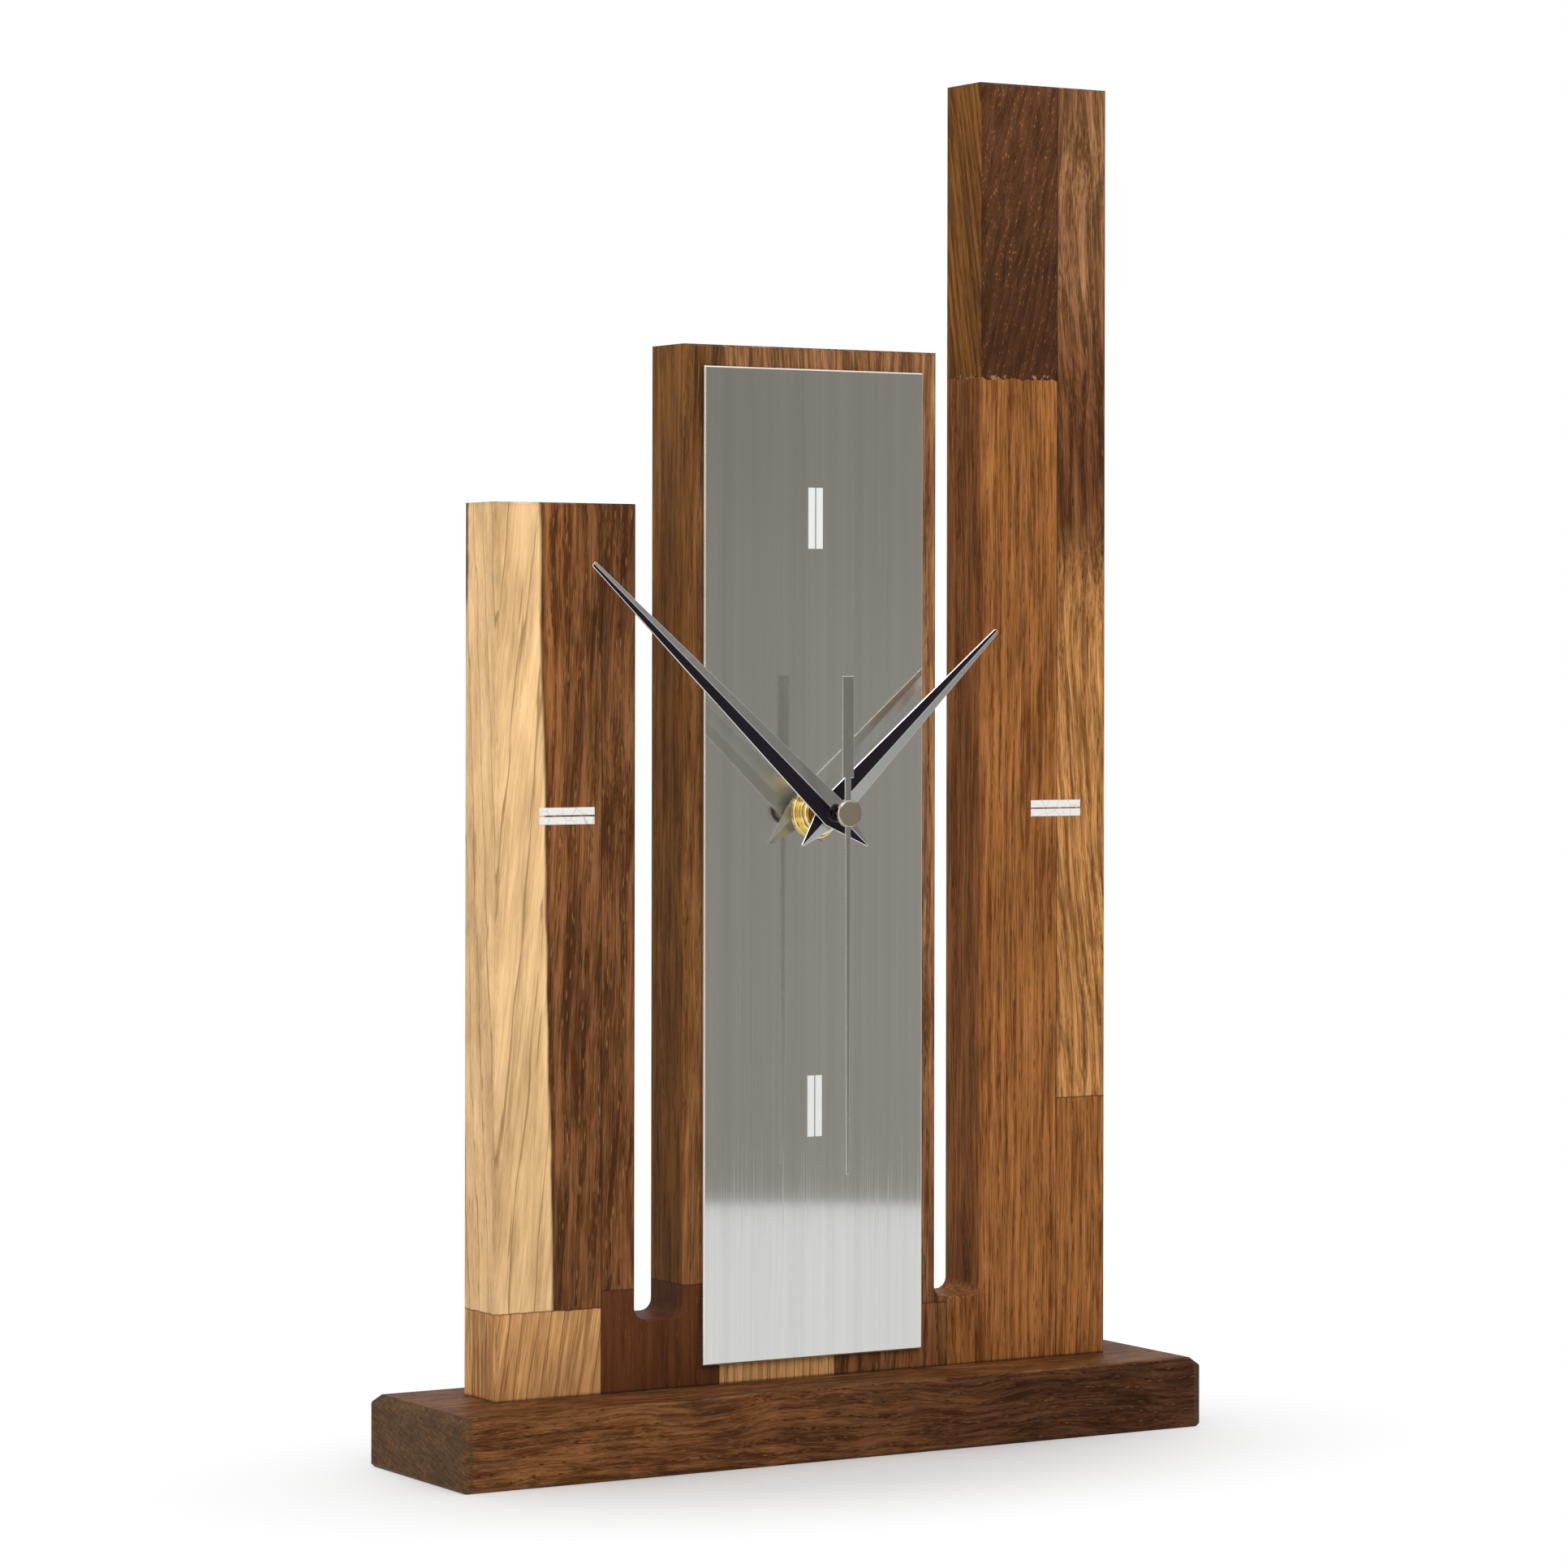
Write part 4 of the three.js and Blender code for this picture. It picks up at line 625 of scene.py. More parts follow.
def right_outer_blocks(place, tones):
    """Streaked wood, dark half way up, on a golden block."""
    z = place.parts()[2]
    top = mix(z.smooth(272, 300), tones.streaked, tones.hazel)
    wood = mix(z.smooth(205, 240), tones.amber, top)
    return stacked(place, 85.7, oak(place, "golden", Seed=17), oak(place, "streaked", Wood=wood),
                   0.3)


STAVES = {
    "stave_left_outer": (LEFT_TOWER, left_outer_blocks),
    "stave_left_inner": (LEFT_TOWER, left_inner_blocks),
    "stave_centre_left": (CENTRE_TOWER, centre_left_blocks),
    "stave_centre_right": (CENTRE_TOWER, centre_right_blocks),
    "stave_right_inner": (RIGHT_TOWER, right_inner_blocks),
    "stave_right_outer": (RIGHT_TOWER, right_outer_blocks),
}


def plinth_material():
    """Oak with its grain along X and end grain at both ends."""
    made, place = new_material("plinth_oak")
    x, y, z = place.parts()
    low, _, high = box("plinth")
    tones = bpy.context.scene.clock_oak
    shade = x.smooth(-80, 80) * z.smooth(PLINTH_TOP - 0.2, PLINTH_TOP - 0.5)
    wood = mix(shade, tones.plinth, tones.smoked)
    tint, roughness, height = oak(join(y, z, x * 1.8), "plinth", Wood=wood)
    dull = mix(0.5, tinted(tint, 0.8), (0.1, 0.065, 0.03))
    rays = noise(join(x, y, z - y * 0.25), (1.0, 0.2, 2.0), 4, 0.65)
    dull = tinted(dull, rays.smooth(0.35, 0.65, 0.72, 1.28))
    tint = mix(abs(x).smooth(high.x - 2.6, high.x - 2.0), tint, dull)
    [edge] = place.wires.effect(box_edges, Place=place, Low=tuple(low), High=tuple(high), Width=1.6)
    tint = mix(edge * 0.3, tint, tinted(tint, 1.5))
    return shaded(made, (tint, roughness - edge * 0.12, height), 0.45, 0.12,
                  Specular_IOR_Level=0.05)


def worked(material, place, tone, stretch, shade, polish, rough, bump=0.05, **constants):
    """The material as worked metal, with roughness from polish to rough."""
    surface = place.wires.effect(worked_metal, Place=place, Metal=tone, Stretch=stretch, Shade=shade,
                                 Polish=polish, Rough=rough)
    return shaded(material, surface, bump, 0.01, **{"Metallic": 1.0, **constants})


def metal_material(name, *finish, **constants):
    """A metal whose fine lines follow stretch."""
    return worked(*new_material(name), *finish, **constants)


def turned_metal(name, tone, *finish):
    """A metal whose fine lines run round the dial's axis."""
    made, place = new_material(name)
    x, y, z = place.parts()
    rings = join(distance_from_axis(x - AXIS_X, z - AXIS_Z), y, 0.0)
    return worked(made, rings, tone, (5, 0.4, 1), *finish)


def skin(place, tint, grain, rough, shade):
    return place.wires.effect(moulded_skin, Place=place, Tint=tint, Grain=grain, Rough=rough,
                              Shade=shade)


def skin_material(name, tint, grain, rough, shade=0.2, bump=0.15, **constants):
    """A moulded, printed or coated surface."""
    made, place = new_material(name)
    return shaded(made, skin(place, tint, grain, rough, shade), bump, 0.02, **constants)


def marker_material():
    """White foil with hairline cracks and small missing specks."""
    made, place = new_material("marker_foil")
    tint, *others = skin(place, bpy.context.scene.clock_plastic.foil, 2.0, 0.4, 0.06)
    crack = cells(place, 0.22, "DISTANCE_TO_EDGE")[0].smooth(0.02, 0.005)
    speck = noise(place, 1.6).smooth(0.7, 0.76)
    on_wood = place.parts()[1].smooth(PLATE_FACE + 0.2, PLATE_FACE + 0.6)
    tint = mix(larger(crack, speck) * on_wood * 0.4, tint, (0.25, 0.2, 0.15))
    return shaded(made, (tint, *others), 0.1, 0.02)


# Meshes

def box(node):
    """Low corner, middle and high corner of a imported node, in millimetres."""
    low, high = (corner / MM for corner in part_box(node))
    return low, (low + high) / 2, high


def new_object(name, bm, materials=()):
    """An object in the scene from a bmesh, which is freed."""
    mesh = bpy.data.meshes.new(name)
    bm.normal_update()
    bm.to_mesh(mesh)
    bm.free()
    for material in materials:
        mesh.materials.append(material)
    made = bpy.data.objects.new(name, mesh)
    bpy.context.scene.collection.objects.link(made)
    return made


def mesh_piece(name, bm, materials, body, node=None):
    """A piece that moves with a body and takes the place of a node, if one is given, which it hides.
    """
    piece = new_object(name, bm, materials)
    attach(piece, body)
    if node:
        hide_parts(node)
        next(part["material_slot"] for part in frame["record"]["subparts"]
                            if part["node"] == node)
    return piece


def smooth_by_angle(piece, degrees=35):
    piece.data.shade_smooth()
    piece.data.set_sharp_from_angle(angle=math.radians(degrees))


def rounded(corners, radius, steps=3):
    """A closed profile with its corners rounded, save those on the axis."""
    points = []
    for index, corner in enumerate(corners):
        here = Vector(corner)
        before = Vector(corners[index - 1]) - here
        after = Vector(corners[(index + 1) % len(corners)]) - here
        reach = min(radius, before.length * 0.45, after.length * 0.45)
        if here.x < 1e-6 or reach < 0.02:
            points.append(here)
            continue
        start = here + before.normalized() * reach
        end = here + after.normalized() * reach
        for step in range(steps + 1):
            share = step / steps
            points.append(start.lerp(here, share).lerp(here.lerp(end, share), share))
    return points


def turned_mesh(profile, origin, axis, steps):
    """A bmesh turned from (radius, height) corners in mm about a line through origin."""
    axis = Vector(axis)
    out = Vector((0, 0, 1)) if abs(axis.z) < 0.5 else Vector((0, -1, 0))
    side = axis.cross(out)
    turns = [2 * math.pi * step / steps for step in range(steps)]
    bm = bmesh.new()
    rings = []
    for radius, height in profile:
        middle = Vector(origin) + axis * height
        if radius < 1e-6:
            rings.append([bm.verts.new(middle * MM)])
            continue
        rings.append([bm.verts.new((middle + radius * (out * math.cos(t) + side * math.sin(t)))
                                   * MM) for t in turns])
    for ring, following in zip(rings, rings[1:] + rings[:1]):
        for step in range(steps):
            corners = [ring[step % len(ring)], ring[(step + 1) % len(ring)],
                       following[(step + 1) % len(following)], following[step % len(following)]]
            distinct = list(dict.fromkeys(corners))
            if len(distinct) > 2:
                bm.faces.new(distinct)
    bmesh.ops.recalc_face_normals(bm, faces=bm.faces)
    return bm


def turned_piece(name, profile, material, body, node=None, edge=None, origin=AXIS_POINT,
                 axis=BACKWARD):
    """A smooth turned piece with softened edges."""
    sizes = bpy.context.scene.clock_sizes
    radius = sizes.turned_edge / MM if edge is None else edge
    bm = turned_mesh(rounded(profile, radius), origin, axis, sizes.round_steps)
    smooth_by_angle(mesh_piece(name, bm, [material], body, node))


def node_mesh(node):
    """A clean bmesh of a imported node, with its flat faces whole."""
    bm = bmesh.new()
    bm.from_mesh(NODES[node].data)
    bmesh.ops.remove_doubles(bm, verts=bm.verts, dist=2e-6)
    bmesh.ops.dissolve_limit(bm, angle_limit=math.radians(1), verts=bm.verts, edges=bm.edges)
    return bm


def soften_edges(bm, width, degrees=25, front_only=False):
    """Bevels the edges that turn by more than an angle."""
    bm.normal_update()
    sharp = [edge for edge in bm.edges
             if len(edge.link_faces) == 2 and edge.calc_face_angle() > math.radians(degrees)
             and not (front_only and max(f.normal.y for f in edge.link_faces) > 0.5)]
    bmesh.ops.bevel(bm, geom=sharp, offset=width, offset_type="OFFSET", segments=2, profile=0.5,
                    affect="EDGES", clamp_overlap=True)
    bmesh.ops.dissolve_degenerate(bm, dist=2e-7, edges=bm.edges)


def block(low, high):
    """A bmesh of a box between two corners in mm."""
    low, high = Vector(low) * MM, Vector(high) * MM
    bm = bmesh.new()
    for vert in bmesh.ops.create_cube(bm, size=1)["verts"]:
        vert.co = Vector([low[i] + (vert.co[i] + 0.5) * (high[i] - low[i]) for i in range(3)])
    return bm


def carved(bm, cutter):
    """The bmesh left after the cutter is taken out."""
    carving, cutting = new_object("carving", bm), new_object("cutting", cutter)
    step = carving.modifiers.new("cut", "BOOLEAN")
    step.object, step.operation, step.solver = cutting, "DIFFERENCE", "EXACT"
    result = bmesh.new()
    result.from_object(carving, bpy.context.evaluated_depsgraph_get())
    for item in (carving, cutting):
        bpy.data.objects.remove(item)
    return result


def finish_nodes(material, *names):
    """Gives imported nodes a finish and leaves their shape."""
    for name in names:
        for slot in NODES[name].material_slots:
            slot.material = material


def edged_sheet(name, node, body, width, materials, choose):
    """A sheet with softened edges; choose gives each face its material by number."""
    bm = node_mesh(node)
    soften_edges(bm, width, front_only=True)
    bm.normal_update()
    for face in bm.faces:
        face.material_index = choose(face.normal)
    mesh_piece(name, bm, materials, body, node)


def bright_edge(name):
    """Satin metal for the edges of sheets: its near-white colour is a painted highlight, over the
    light it picks up from all round.
    """
    return metal_material(name, bpy.context.scene.clock_metal.edge, 2, 0.06, 0.3, 0.42)


def satin_back(name, metallic):
    """Unpolished, lightly oxidised back of a hand."""
    return metal_material(name, bpy.context.scene.clock_metal.edge, 0.5, 0.08, 0.3, 0.45, 0.01,
                          Metallic=metallic)


def folded_hand(name, node, body, painted_reflection_side):
    """A folded hand: bright edges with a painted highlight, a near-black facet as a painted
    reflection, a polished facet and a satin back.
    """
    metals = bpy.context.scene.clock_metal
    polished = metal_material(f"{name}_polish", metals.hand, 0.4, 0.05, 0.3, 0.38, 0.01)
    # One facet painted near-black: a painted reflection of dark surroundings
    facet = skin_material(f"{name}_dark_facet", metals.dark_facet, 5.0, 0.35, 0.5, 0.1,
                          Specular_IOR_Level=0.1)

    def choose(normal):
        if normal.y > 0.9:
            return 3
        if normal.y > -0.9 or normal.y < -0.985:
            return 2
        return 1 if normal.dot(painted_reflection_side) > 0.1 else 0

    edged_sheet(name, node, body, bpy.context.scene.clock_sizes.hand_edge,
                (polished, facet, bright_edge(f"{name}_edge"), satin_back(f"{name}_back", 0.5)),
                choose)


def ribbed_knob():
    """The setting knob with a dished end and a screwdriver slot."""
    _, (x, _, z), (_, end, _) = box("setting_knob")
    dish = turned_mesh([(0, end - DISH_DEPTH), (DISH_RADIUS, end - DISH_DEPTH),
                        (DISH_RADIUS + 0.6, end + 0.2), (0, end + 0.2)], (x, 0, z), BACKWARD, 48)
    slot = block((x - KNOB_SLOT_REACH, end - KNOB_SLOT_DEPTH, z - KNOB_SLOT_HALF_WIDTH),
                 (x + KNOB_SLOT_REACH, end + 0.2, z + KNOB_SLOT_HALF_WIDTH))
    return carved(carved(node_mesh("setting_knob"), dish), slot)


def raise_outline(bm, corners, front, rise):
    """Adds a prism whose outline lies in X and Z and which rises backward, in mm."""
    near, far = ([bm.verts.new(Vector((x, depth, z)) * MM) for x, z in corners]
                 for depth in (front, front + rise))
    bm.faces.new(near)
    bm.faces.new(far)
    for index in range(len(corners)):
        bm.faces.new((near[index - 1], near[index], far[index], far[index - 1]))


def raise_bar(bm, x, z, half_width, half_height, front, rise):
    """Adds a bar that stands up from the back cover."""
    raise_outline(bm, [(x - half_width, z - half_height), (x + half_width, z - half_height),
                       (x + half_width, z + half_height), (x - half_width, z + half_height)],
                  front, rise)


def round_point(x, z, radius, turn):
    """A point in X and Z at a radius and an angle from another."""
    return x + radius * math.cos(turn), z + radius * math.sin(turn)


def cover_marks():
    """Raised ring and turning arrow round the knob, battery signs, ribs and ejector marks."""
    low, _, high = box("movement_cover")
    _, (x, _, z), _ = box("setting_knob")
    back = high.y - 0.02
    inner, outer = KNOB_RING
    bm = turned_mesh(rounded([(inner, back), (outer, back), (outer, back + 0.5),
                              (inner, back + 0.5)], 0.15), (x, 0, z), BACKWARD, 64)
    inner, outer = ARROW_RING
    turns = [math.radians(ARROW_START + ARROW_TURN * step / ARROW_STEPS)
             for step in range(ARROW_STEPS + 1)]
    for first, last in zip(turns, turns[1:]):
        corners = [round_point(x, z, radius, turn)
                   for radius, turn in ((inner, first), (outer, first), (outer, last),
                                        (inner, last))]
        raise_outline(bm, corners, back, 0.4)
    tip = turns[-1]
    foot = round_point(x, z, (inner + outer) / 2, tip)
    head = [round_point(*round_point(*foot, aside, tip), ahead, tip + math.pi / 2)
            for ahead, aside in ((-0.4, -1.6), (-0.4, 1.6), (2.2, 0))]
    raise_outline(bm, head, back, 0.4)
    plus, minus, sign = high.x - SIGN_INSET, low.x + SIGN_INSET, low.z + SIGN_HEIGHT
    raise_bar(bm, plus, sign, SIGN_REACH, SIGN_HALF_WIDTH, back, 0.35)
    raise_bar(bm, plus, sign, SIGN_HALF_WIDTH, SIGN_REACH, back, 0.35)
    raise_bar(bm, minus, sign, SIGN_REACH, SIGN_HALF_WIDTH, back, 0.35)
    for rib in range(RIBS):
        raise_bar(bm, AXIS_X - 14, low.z + 7 + RIB_SPACING * rib, 8, 0.5, back, 0.5)
    for x in (low.x + 4, high.x - 4):
        disc = [round_point(x, high.z - 4, 1.5, turn * math.pi / 12) for turn in range(24)]
        raise_outline(bm, disc, back, 0.1)
    bmesh.ops.recalc_face_normals(bm, faces=bm.faces)
    return bm


def jacket_material(band_start):
    """Printed film of the battery, with a pale band and a thin line at the positive end."""
    plastics = bpy.context.scene.clock_plastic
    made, place = new_material("battery_jacket")
    x = place.parts()[0]
    line = abs(x - (band_start - 1.2)).smooth(0.35, 0.25)
    printed = larger(x.smooth(band_start, band_start + 0.15), line)
    surface = skin(place, mix(printed, plastics.jacket, plastics.band), 1.5, 0.3, 0.15)
    return shaded(made, surface, 0.08, 0.02, Coat_Weight=0.4, Coat_Roughness=0.12)


# Operators

class DressPlinth(bpy.types.Operator):
    """Oak of the plinth, with its grain along the length"""
    bl_idname = "table_clock.plinth"
    bl_label = "Plinth"

    def execute(self, context):
        finish_nodes(plinth_material(), "plinth")
        return {"FINISHED"}


class DressStaves(bpy.types.Operator):
    """Oak of the six staves, block by block"""
    bl_idname = "table_clock.staves"
    bl_label = "Staves of the board"

    def execute(self, context):
        for node, (tower, draw) in STAVES.items():
            finish_nodes(stave_material(f"{node}_oak", tower, draw), node)
        return {"FINISHED"}


class MakeScrews(bpy.types.Operator):
    """Countersunk screws with a cross recess under the plinth"""
    bl_idname = "table_clock.screws"
    bl_label = "Plinth screws"

    def execute(self, context):
        plated = context.scene.clock_metal.plated
        plate = metal_material("screw_plate", plated, (0.8, 0.8, 4), 0.12, 0.15, 0.4)
        for node in [name for name in NODES if name.startswith("plinth_screw")]:
            low, (x, y, _), high = box(node)
            head = (high.x - low.x) / 2
            profile = [(0, low.z), (head, low.z), (head, low.z + 0.3),
                       (SHANK_RADIUS, low.z + SCREW_HEAD_DEPTH),
                       (SHANK_RADIUS, high.z - SCREW_TIP), (0, high.z)]
            bm = turned_mesh(rounded(profile, 0.1), (x, y, 0), (0, 0, 1), 48)
            for reach, width in ((RECESS_REACH, RECESS_HALF_WIDTH),
                                 (RECESS_HALF_WIDTH, RECESS_REACH)):
                bm = carved(bm, block((x - reach, y - width, low.z - 1),
                                      (x + reach, y + width, low.z + RECESS_DEPTH)))
            smooth_by_angle(mesh_piece(f"{node}_cross_recess", bm, [plate], "clock_frame", node))
        return {"FINISHED"}


class DressDialPlate(bpy.types.Operator):
    """Brushed steel plate and the adhesive film behind it"""
    bl_idname = "table_clock.dial_plate"
    bl_label = "Dial plate"

    def execute(self, context):
        scene = context.scene
        steel = metal_material("brushed_steel", scene.clock_metal.steel, (5.5, 1.0, 0.012), 0.2,
                               0.07, 0.3, 0.01, Anisotropic=0.7)
        # The plate's bevelled edges carry a painted highlight
        edged_sheet("dial_plate_bevelled", "dial_plate", "clock_frame",
                    scene.clock_sizes.plate_edge, (steel, bright_edge("dial_plate_edge")),
                    lambda normal: abs(normal.y) < 0.98)
        finish_nodes(skin_material("adhesive_film", scene.clock_plastic.film, 2.0, 0.6),
                     "dial_film")
        return {"FINISHED"}


class DressMarkers(bpy.types.Operator):
    """White foil of the hour markers"""
    bl_idname = "table_clock.markers"
    bl_label = "Hour markers"

    def execute(self, context):
        finish_nodes(marker_material(), *[name for name in NODES if name.startswith("marker_")])
        return {"FINISHED"}


class MakeFixings(bpy.types.Operator):
    """Stepped nut and flange on the plate, with the bush and washer behind them"""
    bl_idname = "table_clock.fixings"
    bl_label = "Nut, flange and bush"

    def execute(self, context):
        scene = context.scene
        metals = scene.clock_metal
        brass = turned_metal("polished_brass", metals.brass, 0.1, 0.04, 0.12, 0.03)
        turned_piece("nut_flange_turned", FLANGE_PROFILE, brass, "clock_frame", "nut_flange")
        turned_piece("centre_nut_turned", NUT_PROFILE, brass, "clock_frame", "centre_nut")
        finish_nodes(turned_metal("bush_brass", metals.turned_brass, 0.2, 0.2, 0.4),
                     "movement_bush")
        finish_nodes(skin_material("washer_rubber", scene.clock_plastic.rubber, 2.0, 0.8),
                     "rubber_washer")
        return {"FINISHED"}


class MakeHands(bpy.types.Operator):
    """Folded hour and minute hands and their collets"""
    bl_idname = "table_clock.hands"
    bl_label = "Hour and minute hands"

    def execute(self, context):
        scene = context.scene
        # The facets facing these directions get the painted dark reflection
        folded_hand("hour_hand_folded", "hour_hand", "hour_hand_pipe", Vector((-0.7, 0, 0.7)))
        folded_hand("minute_hand_folded", "minute_hand", "minute_hand_pipe",
                    Vector((-0.7, 0, -0.7)))
        brass = turned_metal("collet_brass", scene.clock_metal.brass, 0.2, 0.1, 0.3)
        steel = turned_metal("collet_steel", scene.clock_metal.burnished, 0.2, 0.15, 0.35)
        for node, metal, bore, back, shoulder, front, body in (
                ("hour_collet", brass, 2.56, -4.6, -6.9, -8.5, "hour_hand_pipe"),
                ("minute_collet", steel, 1.76, -8.95, -9.1, -10.7, "minute_hand_pipe")):
            sleeve = bore + COLLET_WALL
            turned_piece(f"{node}_turned",
                         [(bore, front), (sleeve, front), (sleeve, shoulder),
                          (COLLET_SHOULDER, shoulder), (COLLET_SHOULDER, back), (bore, back)],
                         metal, body, node, edge=0.05)
        finish_nodes(steel, "minute_pipe")
        return {"FINISHED"}


class MakeSecondHand(bpy.types.Operator):
    """Second hand with bright edges, and the cap over the axis"""
    bl_idname = "table_clock.second_hand"
    bl_label = "Second hand and cap"

    def execute(self, context):
        scene = context.scene
        metals = scene.clock_metal
        sheet = metal_material("second_hand_polish", metals.hand, (2, 2, 0.3), 0.1, 0.1, 0.25,
                               0.01)
        # The second hand's bevelled edges carry a painted highlight
        edged_sheet("second_hand_sheet", "second_hand", "second_hand_arbor",
                    scene.clock_sizes.sheet_edge,
                    (sheet, bright_edge("second_hand_edge"), satin_back("second_hand_back", 0.85)),
                    lambda normal: 2 if normal.y > 0.98 else int(normal.y > -0.98))
        rim = CAP_BACK - 0.95
        turned_piece("second_cap_turned",
                     [(0, CAP_BACK), (CAP_RADIUS, CAP_BACK), (CAP_RADIUS, CAP_BACK - 0.65),
                      (CAP_RADIUS - 0.35, CAP_BACK - 1.0), (CAP_RADIUS - 0.6, rim), (0, rim)],
                     turned_metal("cap_polish", metals.cap, 0.12, 0.1, 0.24, 0.04),
                     "second_hand_arbor", "second_cap")
        finish_nodes(sheet, "second_tube")
        return {"FINISHED"}


class DressMovement(bpy.types.Operator):
    """Movement case, back cover and setting knob, with moulded marks"""
    bl_idname = "table_clock.movement"
    bl_label = "Movement case"

    def execute(self, context):
        plastics = context.scene.clock_plastic
        case = skin_material("case_plastic", plastics.case, 3.5, 0.5, 0.35, 0.5)
        for node in ("movement_case", "movement_cover"):
            bm = node_mesh(node)
            soften_edges(bm, CASE_EDGE * MM, 40)
            smooth_by_angle(mesh_piece(f"{node}_softened", bm, [case], "clock_frame", node), 30)
        knob = skin_material("knob_plastic", plastics.wheels, 4.0, 0.4, 0.12, 0.12)
        mesh_piece("setting_knob_ribbed", ribbed_knob(), [knob], "setting_arbor", "setting_knob")
        marks = skin_material("moulded_marks", plastics.marks, 4.0, 0.35, 0.3, 0.2)
        mesh_piece("cover_marks", cover_marks(), [marks], "clock_frame")
        return {"FINISHED"}


class MakeBattery(bpy.types.Operator):
    """Battery with a crimped steel can end, and the contacts"""
    bl_idname = "table_clock.battery"
    bl_label = "Battery and contacts"

    def execute(self, context):
        plated = context.scene.clock_metal.plated
        low, middle, high = box("battery")
        end, radius = (high.x - low.x) / 2, (high.z - low.z) / 2
        inner = radius - 0.12
        can = [(0, -end), (radius - 1.6, -end), (radius - 1.2, 0.25 - end), (inner, 0.3 - end),
               (inner, end - 1.15), (radius - 1.3, end - 1.0), (3.2, end - 1.0),
               (2.75, end - 0.9), (2.6, end - 0.1), (2.4, end), (0, end)]
        steel = metal_material("battery_steel", plated, (1, 2, 2), 0.1, 0.32, 0.45)
        turned_piece("battery_can", can, steel, "battery_body", "battery", origin=middle,
                     axis=(1, 0, 0))
        sleeve = [(inner - 0.05, 0.6 - end), (radius, 0.6 - end), (radius, end - 1.5),
                  (inner - 0.05, end - 1.2)]
        turned_piece("battery_sleeve", sleeve, jacket_material(high.x - SLEEVE_BAND),
                     "battery_body", edge=0.05, origin=middle, axis=(1, 0, 0))
        finish_nodes(metal_material("contact_plate", plated, (2, 2, 0.5), 0.12, 0.18, 0.4),
                     "contact_negative", "contact_positive")
        return {"FINISHED"}


class DressTrain(bpy.types.Operator):
    """Wheels, bridge and rotor inside the case"""
    bl_idname = "table_clock.train"
    bl_label = "Wheel train"

    def execute(self, context):
        scene = context.scene
        wheel = skin_material("wheel_plastic", scene.clock_plastic.wheels, 4.0, 0.4, 0.1, 0.1)
        finish_nodes(wheel, "train_bridge", "intermediate_wheel", "second_wheel", "third_wheel",
                     "centre_wheel", "reverser_wheel", "hour_wheel")
        finish_nodes(metal_material("rotor_magnet", scene.clock_metal.magnet, 2, 0.2, 0.35, 0.6),
                     "rotor")
        return {"FINISHED"}


class DressMotor(bpy.types.Operator):
    """Stator, coil, circuit board and crystal inside the case"""
    bl_idname = "table_clock.motor"
    bl_label = "Motor and circuit"

    def execute(self, context):
        scene = context.scene
        metals = scene.clock_metal
        finish_nodes(metal_material("stator_plate", metals.plated, (3, 3, 0.5), 0.15, 0.25, 0.5),
                     "stator", "crystal")
        finish_nodes(metal_material("coil_winding", metals.copper, (9, 0.3, 0.3), 0.5, 0.25, 0.5,
                                    0.4), "coil")
        finish_nodes(skin_material("board_laminate", scene.clock_plastic.laminate, 2.0, 0.45,
                                   0.25), "circuit_board")
        return {"FINISHED"}


class MakeStage(bpy.types.Operator):
    """Pale floor, the wall that metal mirrors, soft lamps, ambient light and the camera"""
    bl_idname = "table_clock.stage"
    bl_label = "Stage"

    def execute(self, context):
        scene = context.scene
        studio = scene.clock_studio
        make_floor()
        make_mirrored_wall(studio)
        make_lamp("key_lamp", KEY_PLACE, KEY_SIZE, studio.key_power)
        make_lamp("fill_lamp", FILL_PLACE, FILL_SIZE, studio.fill_power)
        scene.world = ambient_light(studio.ambient)
        scene.camera = photo_camera(studio)
        scene.view_settings.view_transform = "Standard"
        return {"FINISHED"}


# Stage

def seen_directly(wires):
    """1 for camera, mirror and glass rays, 0 for the light on the object."""
    path = {value.socket.name: value for value in wires.outputs("LightPath", {})}
    both = larger(path["Is Camera Ray"], path["Is Glossy Ray"])
    return larger(both, path["Is Transmission Ray"])


def make_floor():
    """A pale floor that turns pure white away from the clock and keeps its shadow."""
    bm = bmesh.new()
    bmesh.ops.create_circle(bm, cap_ends=True, segments=96, radius=FLOOR_RADIUS)
    material, place = new_material("studio_floor")
    wires = place.wires
    speckle = noise(place, 0.02)
    tint = mix(speckle, (0.88, 0.88, 0.88), (0.92, 0.92, 0.92))
    shader = principled((tint, 0.75, speckle), 0.02, 0.1)
    squeezed = (place + (7, 17, 0)) * (0.6, 1, 1)
    distance = wires.outputs("VectorMath", {0: squeezed}, operation="LENGTH")[1]
    glow = wires.node("Emission", {"Color": (1, 1, 1), "Strength": 1.0})
    share = seen_directly(wires) * distance.smooth(27, 111)
    both = wires.node("MixShader", {0: share, 1: shader, 2: glow.outputs[0]})
    wires.node("OutputMaterial", {"Surface": both.outputs[0]})
    new_object("studio_floor", bm, [material])


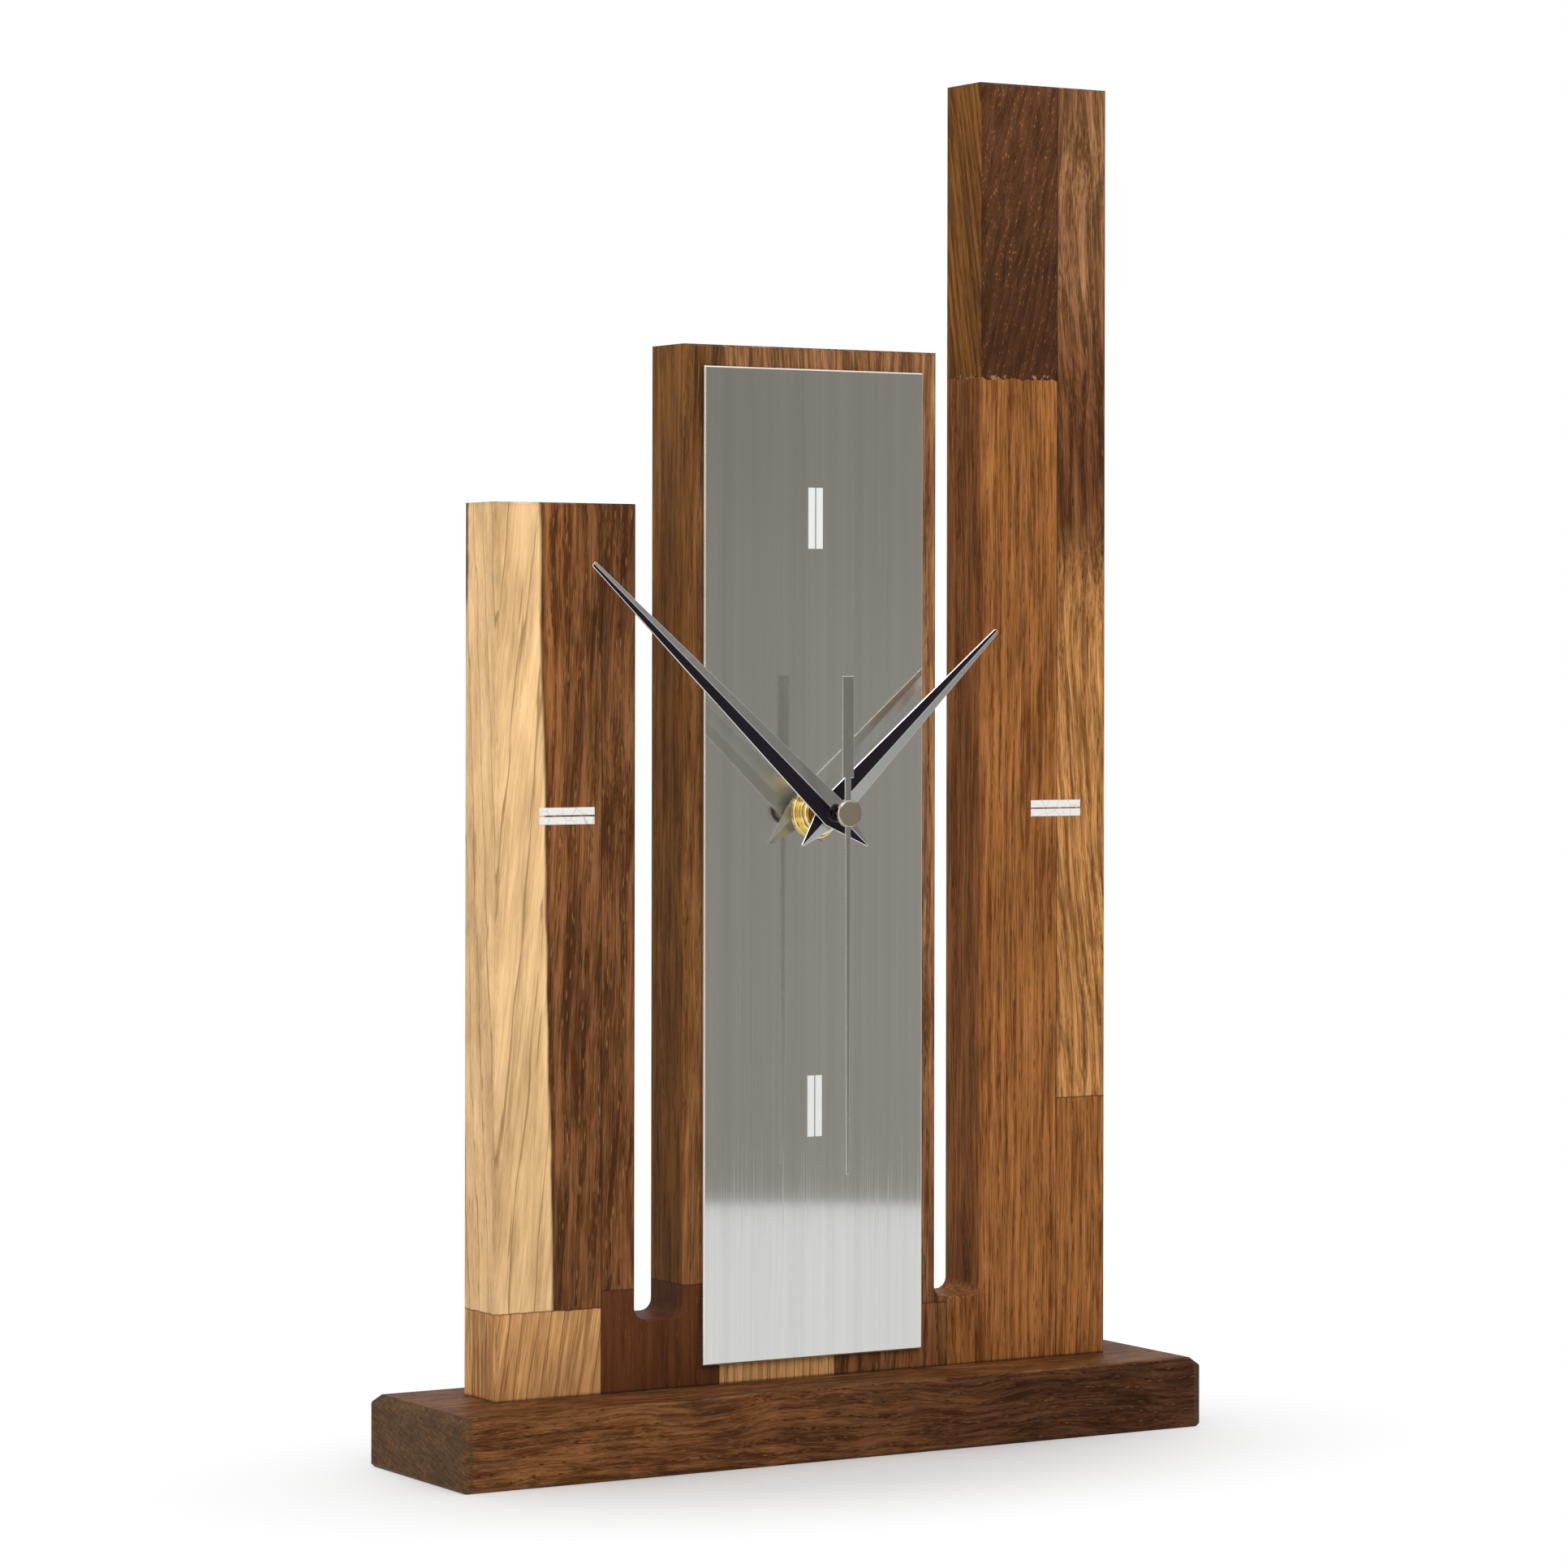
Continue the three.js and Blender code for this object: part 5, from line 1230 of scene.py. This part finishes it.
def make_mirrored_wall(studio):
    """A grey wall in front of the clock that only mirror rays see."""
    bm = bmesh.new()
    columns = []
    for step in range(WALL_STEPS + 1):
        turn = math.radians(WALL_START + WALL_TURN * step / WALL_STEPS)
        x, y = studio.wall_radius * math.sin(turn), -studio.wall_radius * math.cos(turn)
        columns.append([bm.verts.new((x, y, height)) for height in (WALL_FOOT, studio.wall_height)])
    for left, right in zip(columns, columns[1:]):
        bm.faces.new((left[0], right[0], right[1], left[1]))
    material, place = new_material("mirrored_wall")
    x, _, z = place.parts()
    shade = x.smooth(230, 360, 0.92, 1.06) * z.smooth(120, 320, 1.0, 0.82)
    shade = noise(place, (0.004, 0.004, 0.008)) * 0.16 + shade
    glow = place.wires.node("Emission", {"Color": tinted(studio.wall, shade), "Strength": 1.0})
    place.wires.node("OutputMaterial", {"Surface": glow.outputs[0]})
    wall = new_object("mirrored_wall", bm, [material])
    for rays in ("camera", "diffuse", "shadow", "transmission"):
        setattr(wall, f"visible_{rays}", False)


def placed(name, data, place, turn):
    """A lamp or camera in the scene."""
    made = bpy.data.objects.new(name, data)
    made.location = place
    made.rotation_mode = "QUATERNION"
    made.rotation_quaternion = turn
    bpy.context.scene.collection.objects.link(made)
    return made


def make_lamp(name, place, size, power):
    """A soft square lamp that looks at the middle of the clock."""
    light = bpy.data.lights.new(name, "AREA")
    light.shape, light.size, light.energy = "SQUARE", size, power
    look = Vector(LAMP_TARGET) - Vector(place)
    placed(name, light, place, look.to_track_quat("-Z", "Y"))


def ambient_light(strength):
    """White behind the clock and in its mirrors, and an even light on the object."""
    world = bpy.data.worlds.new("studio_light")
    wires = cleared(world)
    light, seen = (wires.node("Background", {"Color": (1, 1, 1), "Strength": power}).outputs[0]
                   for power in (strength, 1.0))
    both = wires.node("MixShader", {0: seen_directly(wires), 1: light, 2: seen})
    wires.node("OutputWorld", {"Surface": both.outputs[0]})
    return world


def photo_camera(studio):
    """The camera that the photo's perspective gives."""
    data = bpy.data.cameras.new("photo_camera")
    data.lens, data.sensor_width, data.shift_y = studio.lens, 36, CAMERA_SHIFT
    data.clip_start, data.clip_end = 0.05, 50
    level = Euler((math.pi / 2, 0, -studio.bearing)).to_quaternion()
    roll = Quaternion((0, 0, 1), math.radians(CAMERA_ROLL))
    return placed("photo_camera", data, CAMERA_PLACE, level @ roll)


# Add-on

class ClockPanel(bpy.types.Panel):
    """Buttons for each group of pieces"""
    bl_idname = "VIEW3D_PT_table_clock"
    bl_label = "Table clock"
    bl_space_type = "VIEW_3D"
    bl_region_type = "UI"
    bl_category = "Table clock"

    def draw(self, context):
        for operator in OPERATORS:
            self.layout.operator(operator.bl_idname)
        for name, kind in SETTINGS.items():
            column = self.layout.box()
            for setting in kind.__annotations__:
                column.prop(getattr(context.scene, name), setting)


OPERATORS = (DressPlinth, DressStaves, MakeScrews, DressDialPlate, DressMarkers, MakeFixings,
             MakeHands, MakeSecondHand, DressMovement, MakeBattery, DressTrain, DressMotor,
             MakeStage)
SETTINGS = {"clock_oak": OakColours, "clock_metal": MetalColours,
            "clock_plastic": PlasticColours, "clock_sizes": ClockSizes,
            "clock_studio": StudioSettings}


def register():
    for item in (*SETTINGS.values(), *OPERATORS, ClockPanel):
        bpy.utils.register_class(item)
    for name, kind in SETTINGS.items():
        setattr(bpy.types.Scene, name, bpy.props.PointerProperty(type=kind))


def unregister():
    for name in SETTINGS:
        delattr(bpy.types.Scene, name)
    for item in reversed((*SETTINGS.values(), *OPERATORS, ClockPanel)):
        bpy.utils.unregister_class(item)


def main():
    register()
    for operator in OPERATORS:
        group, name = operator.bl_idname.split(".")
        getattr(getattr(bpy.ops, group), name)()


if __name__ == "__main__":
    main()
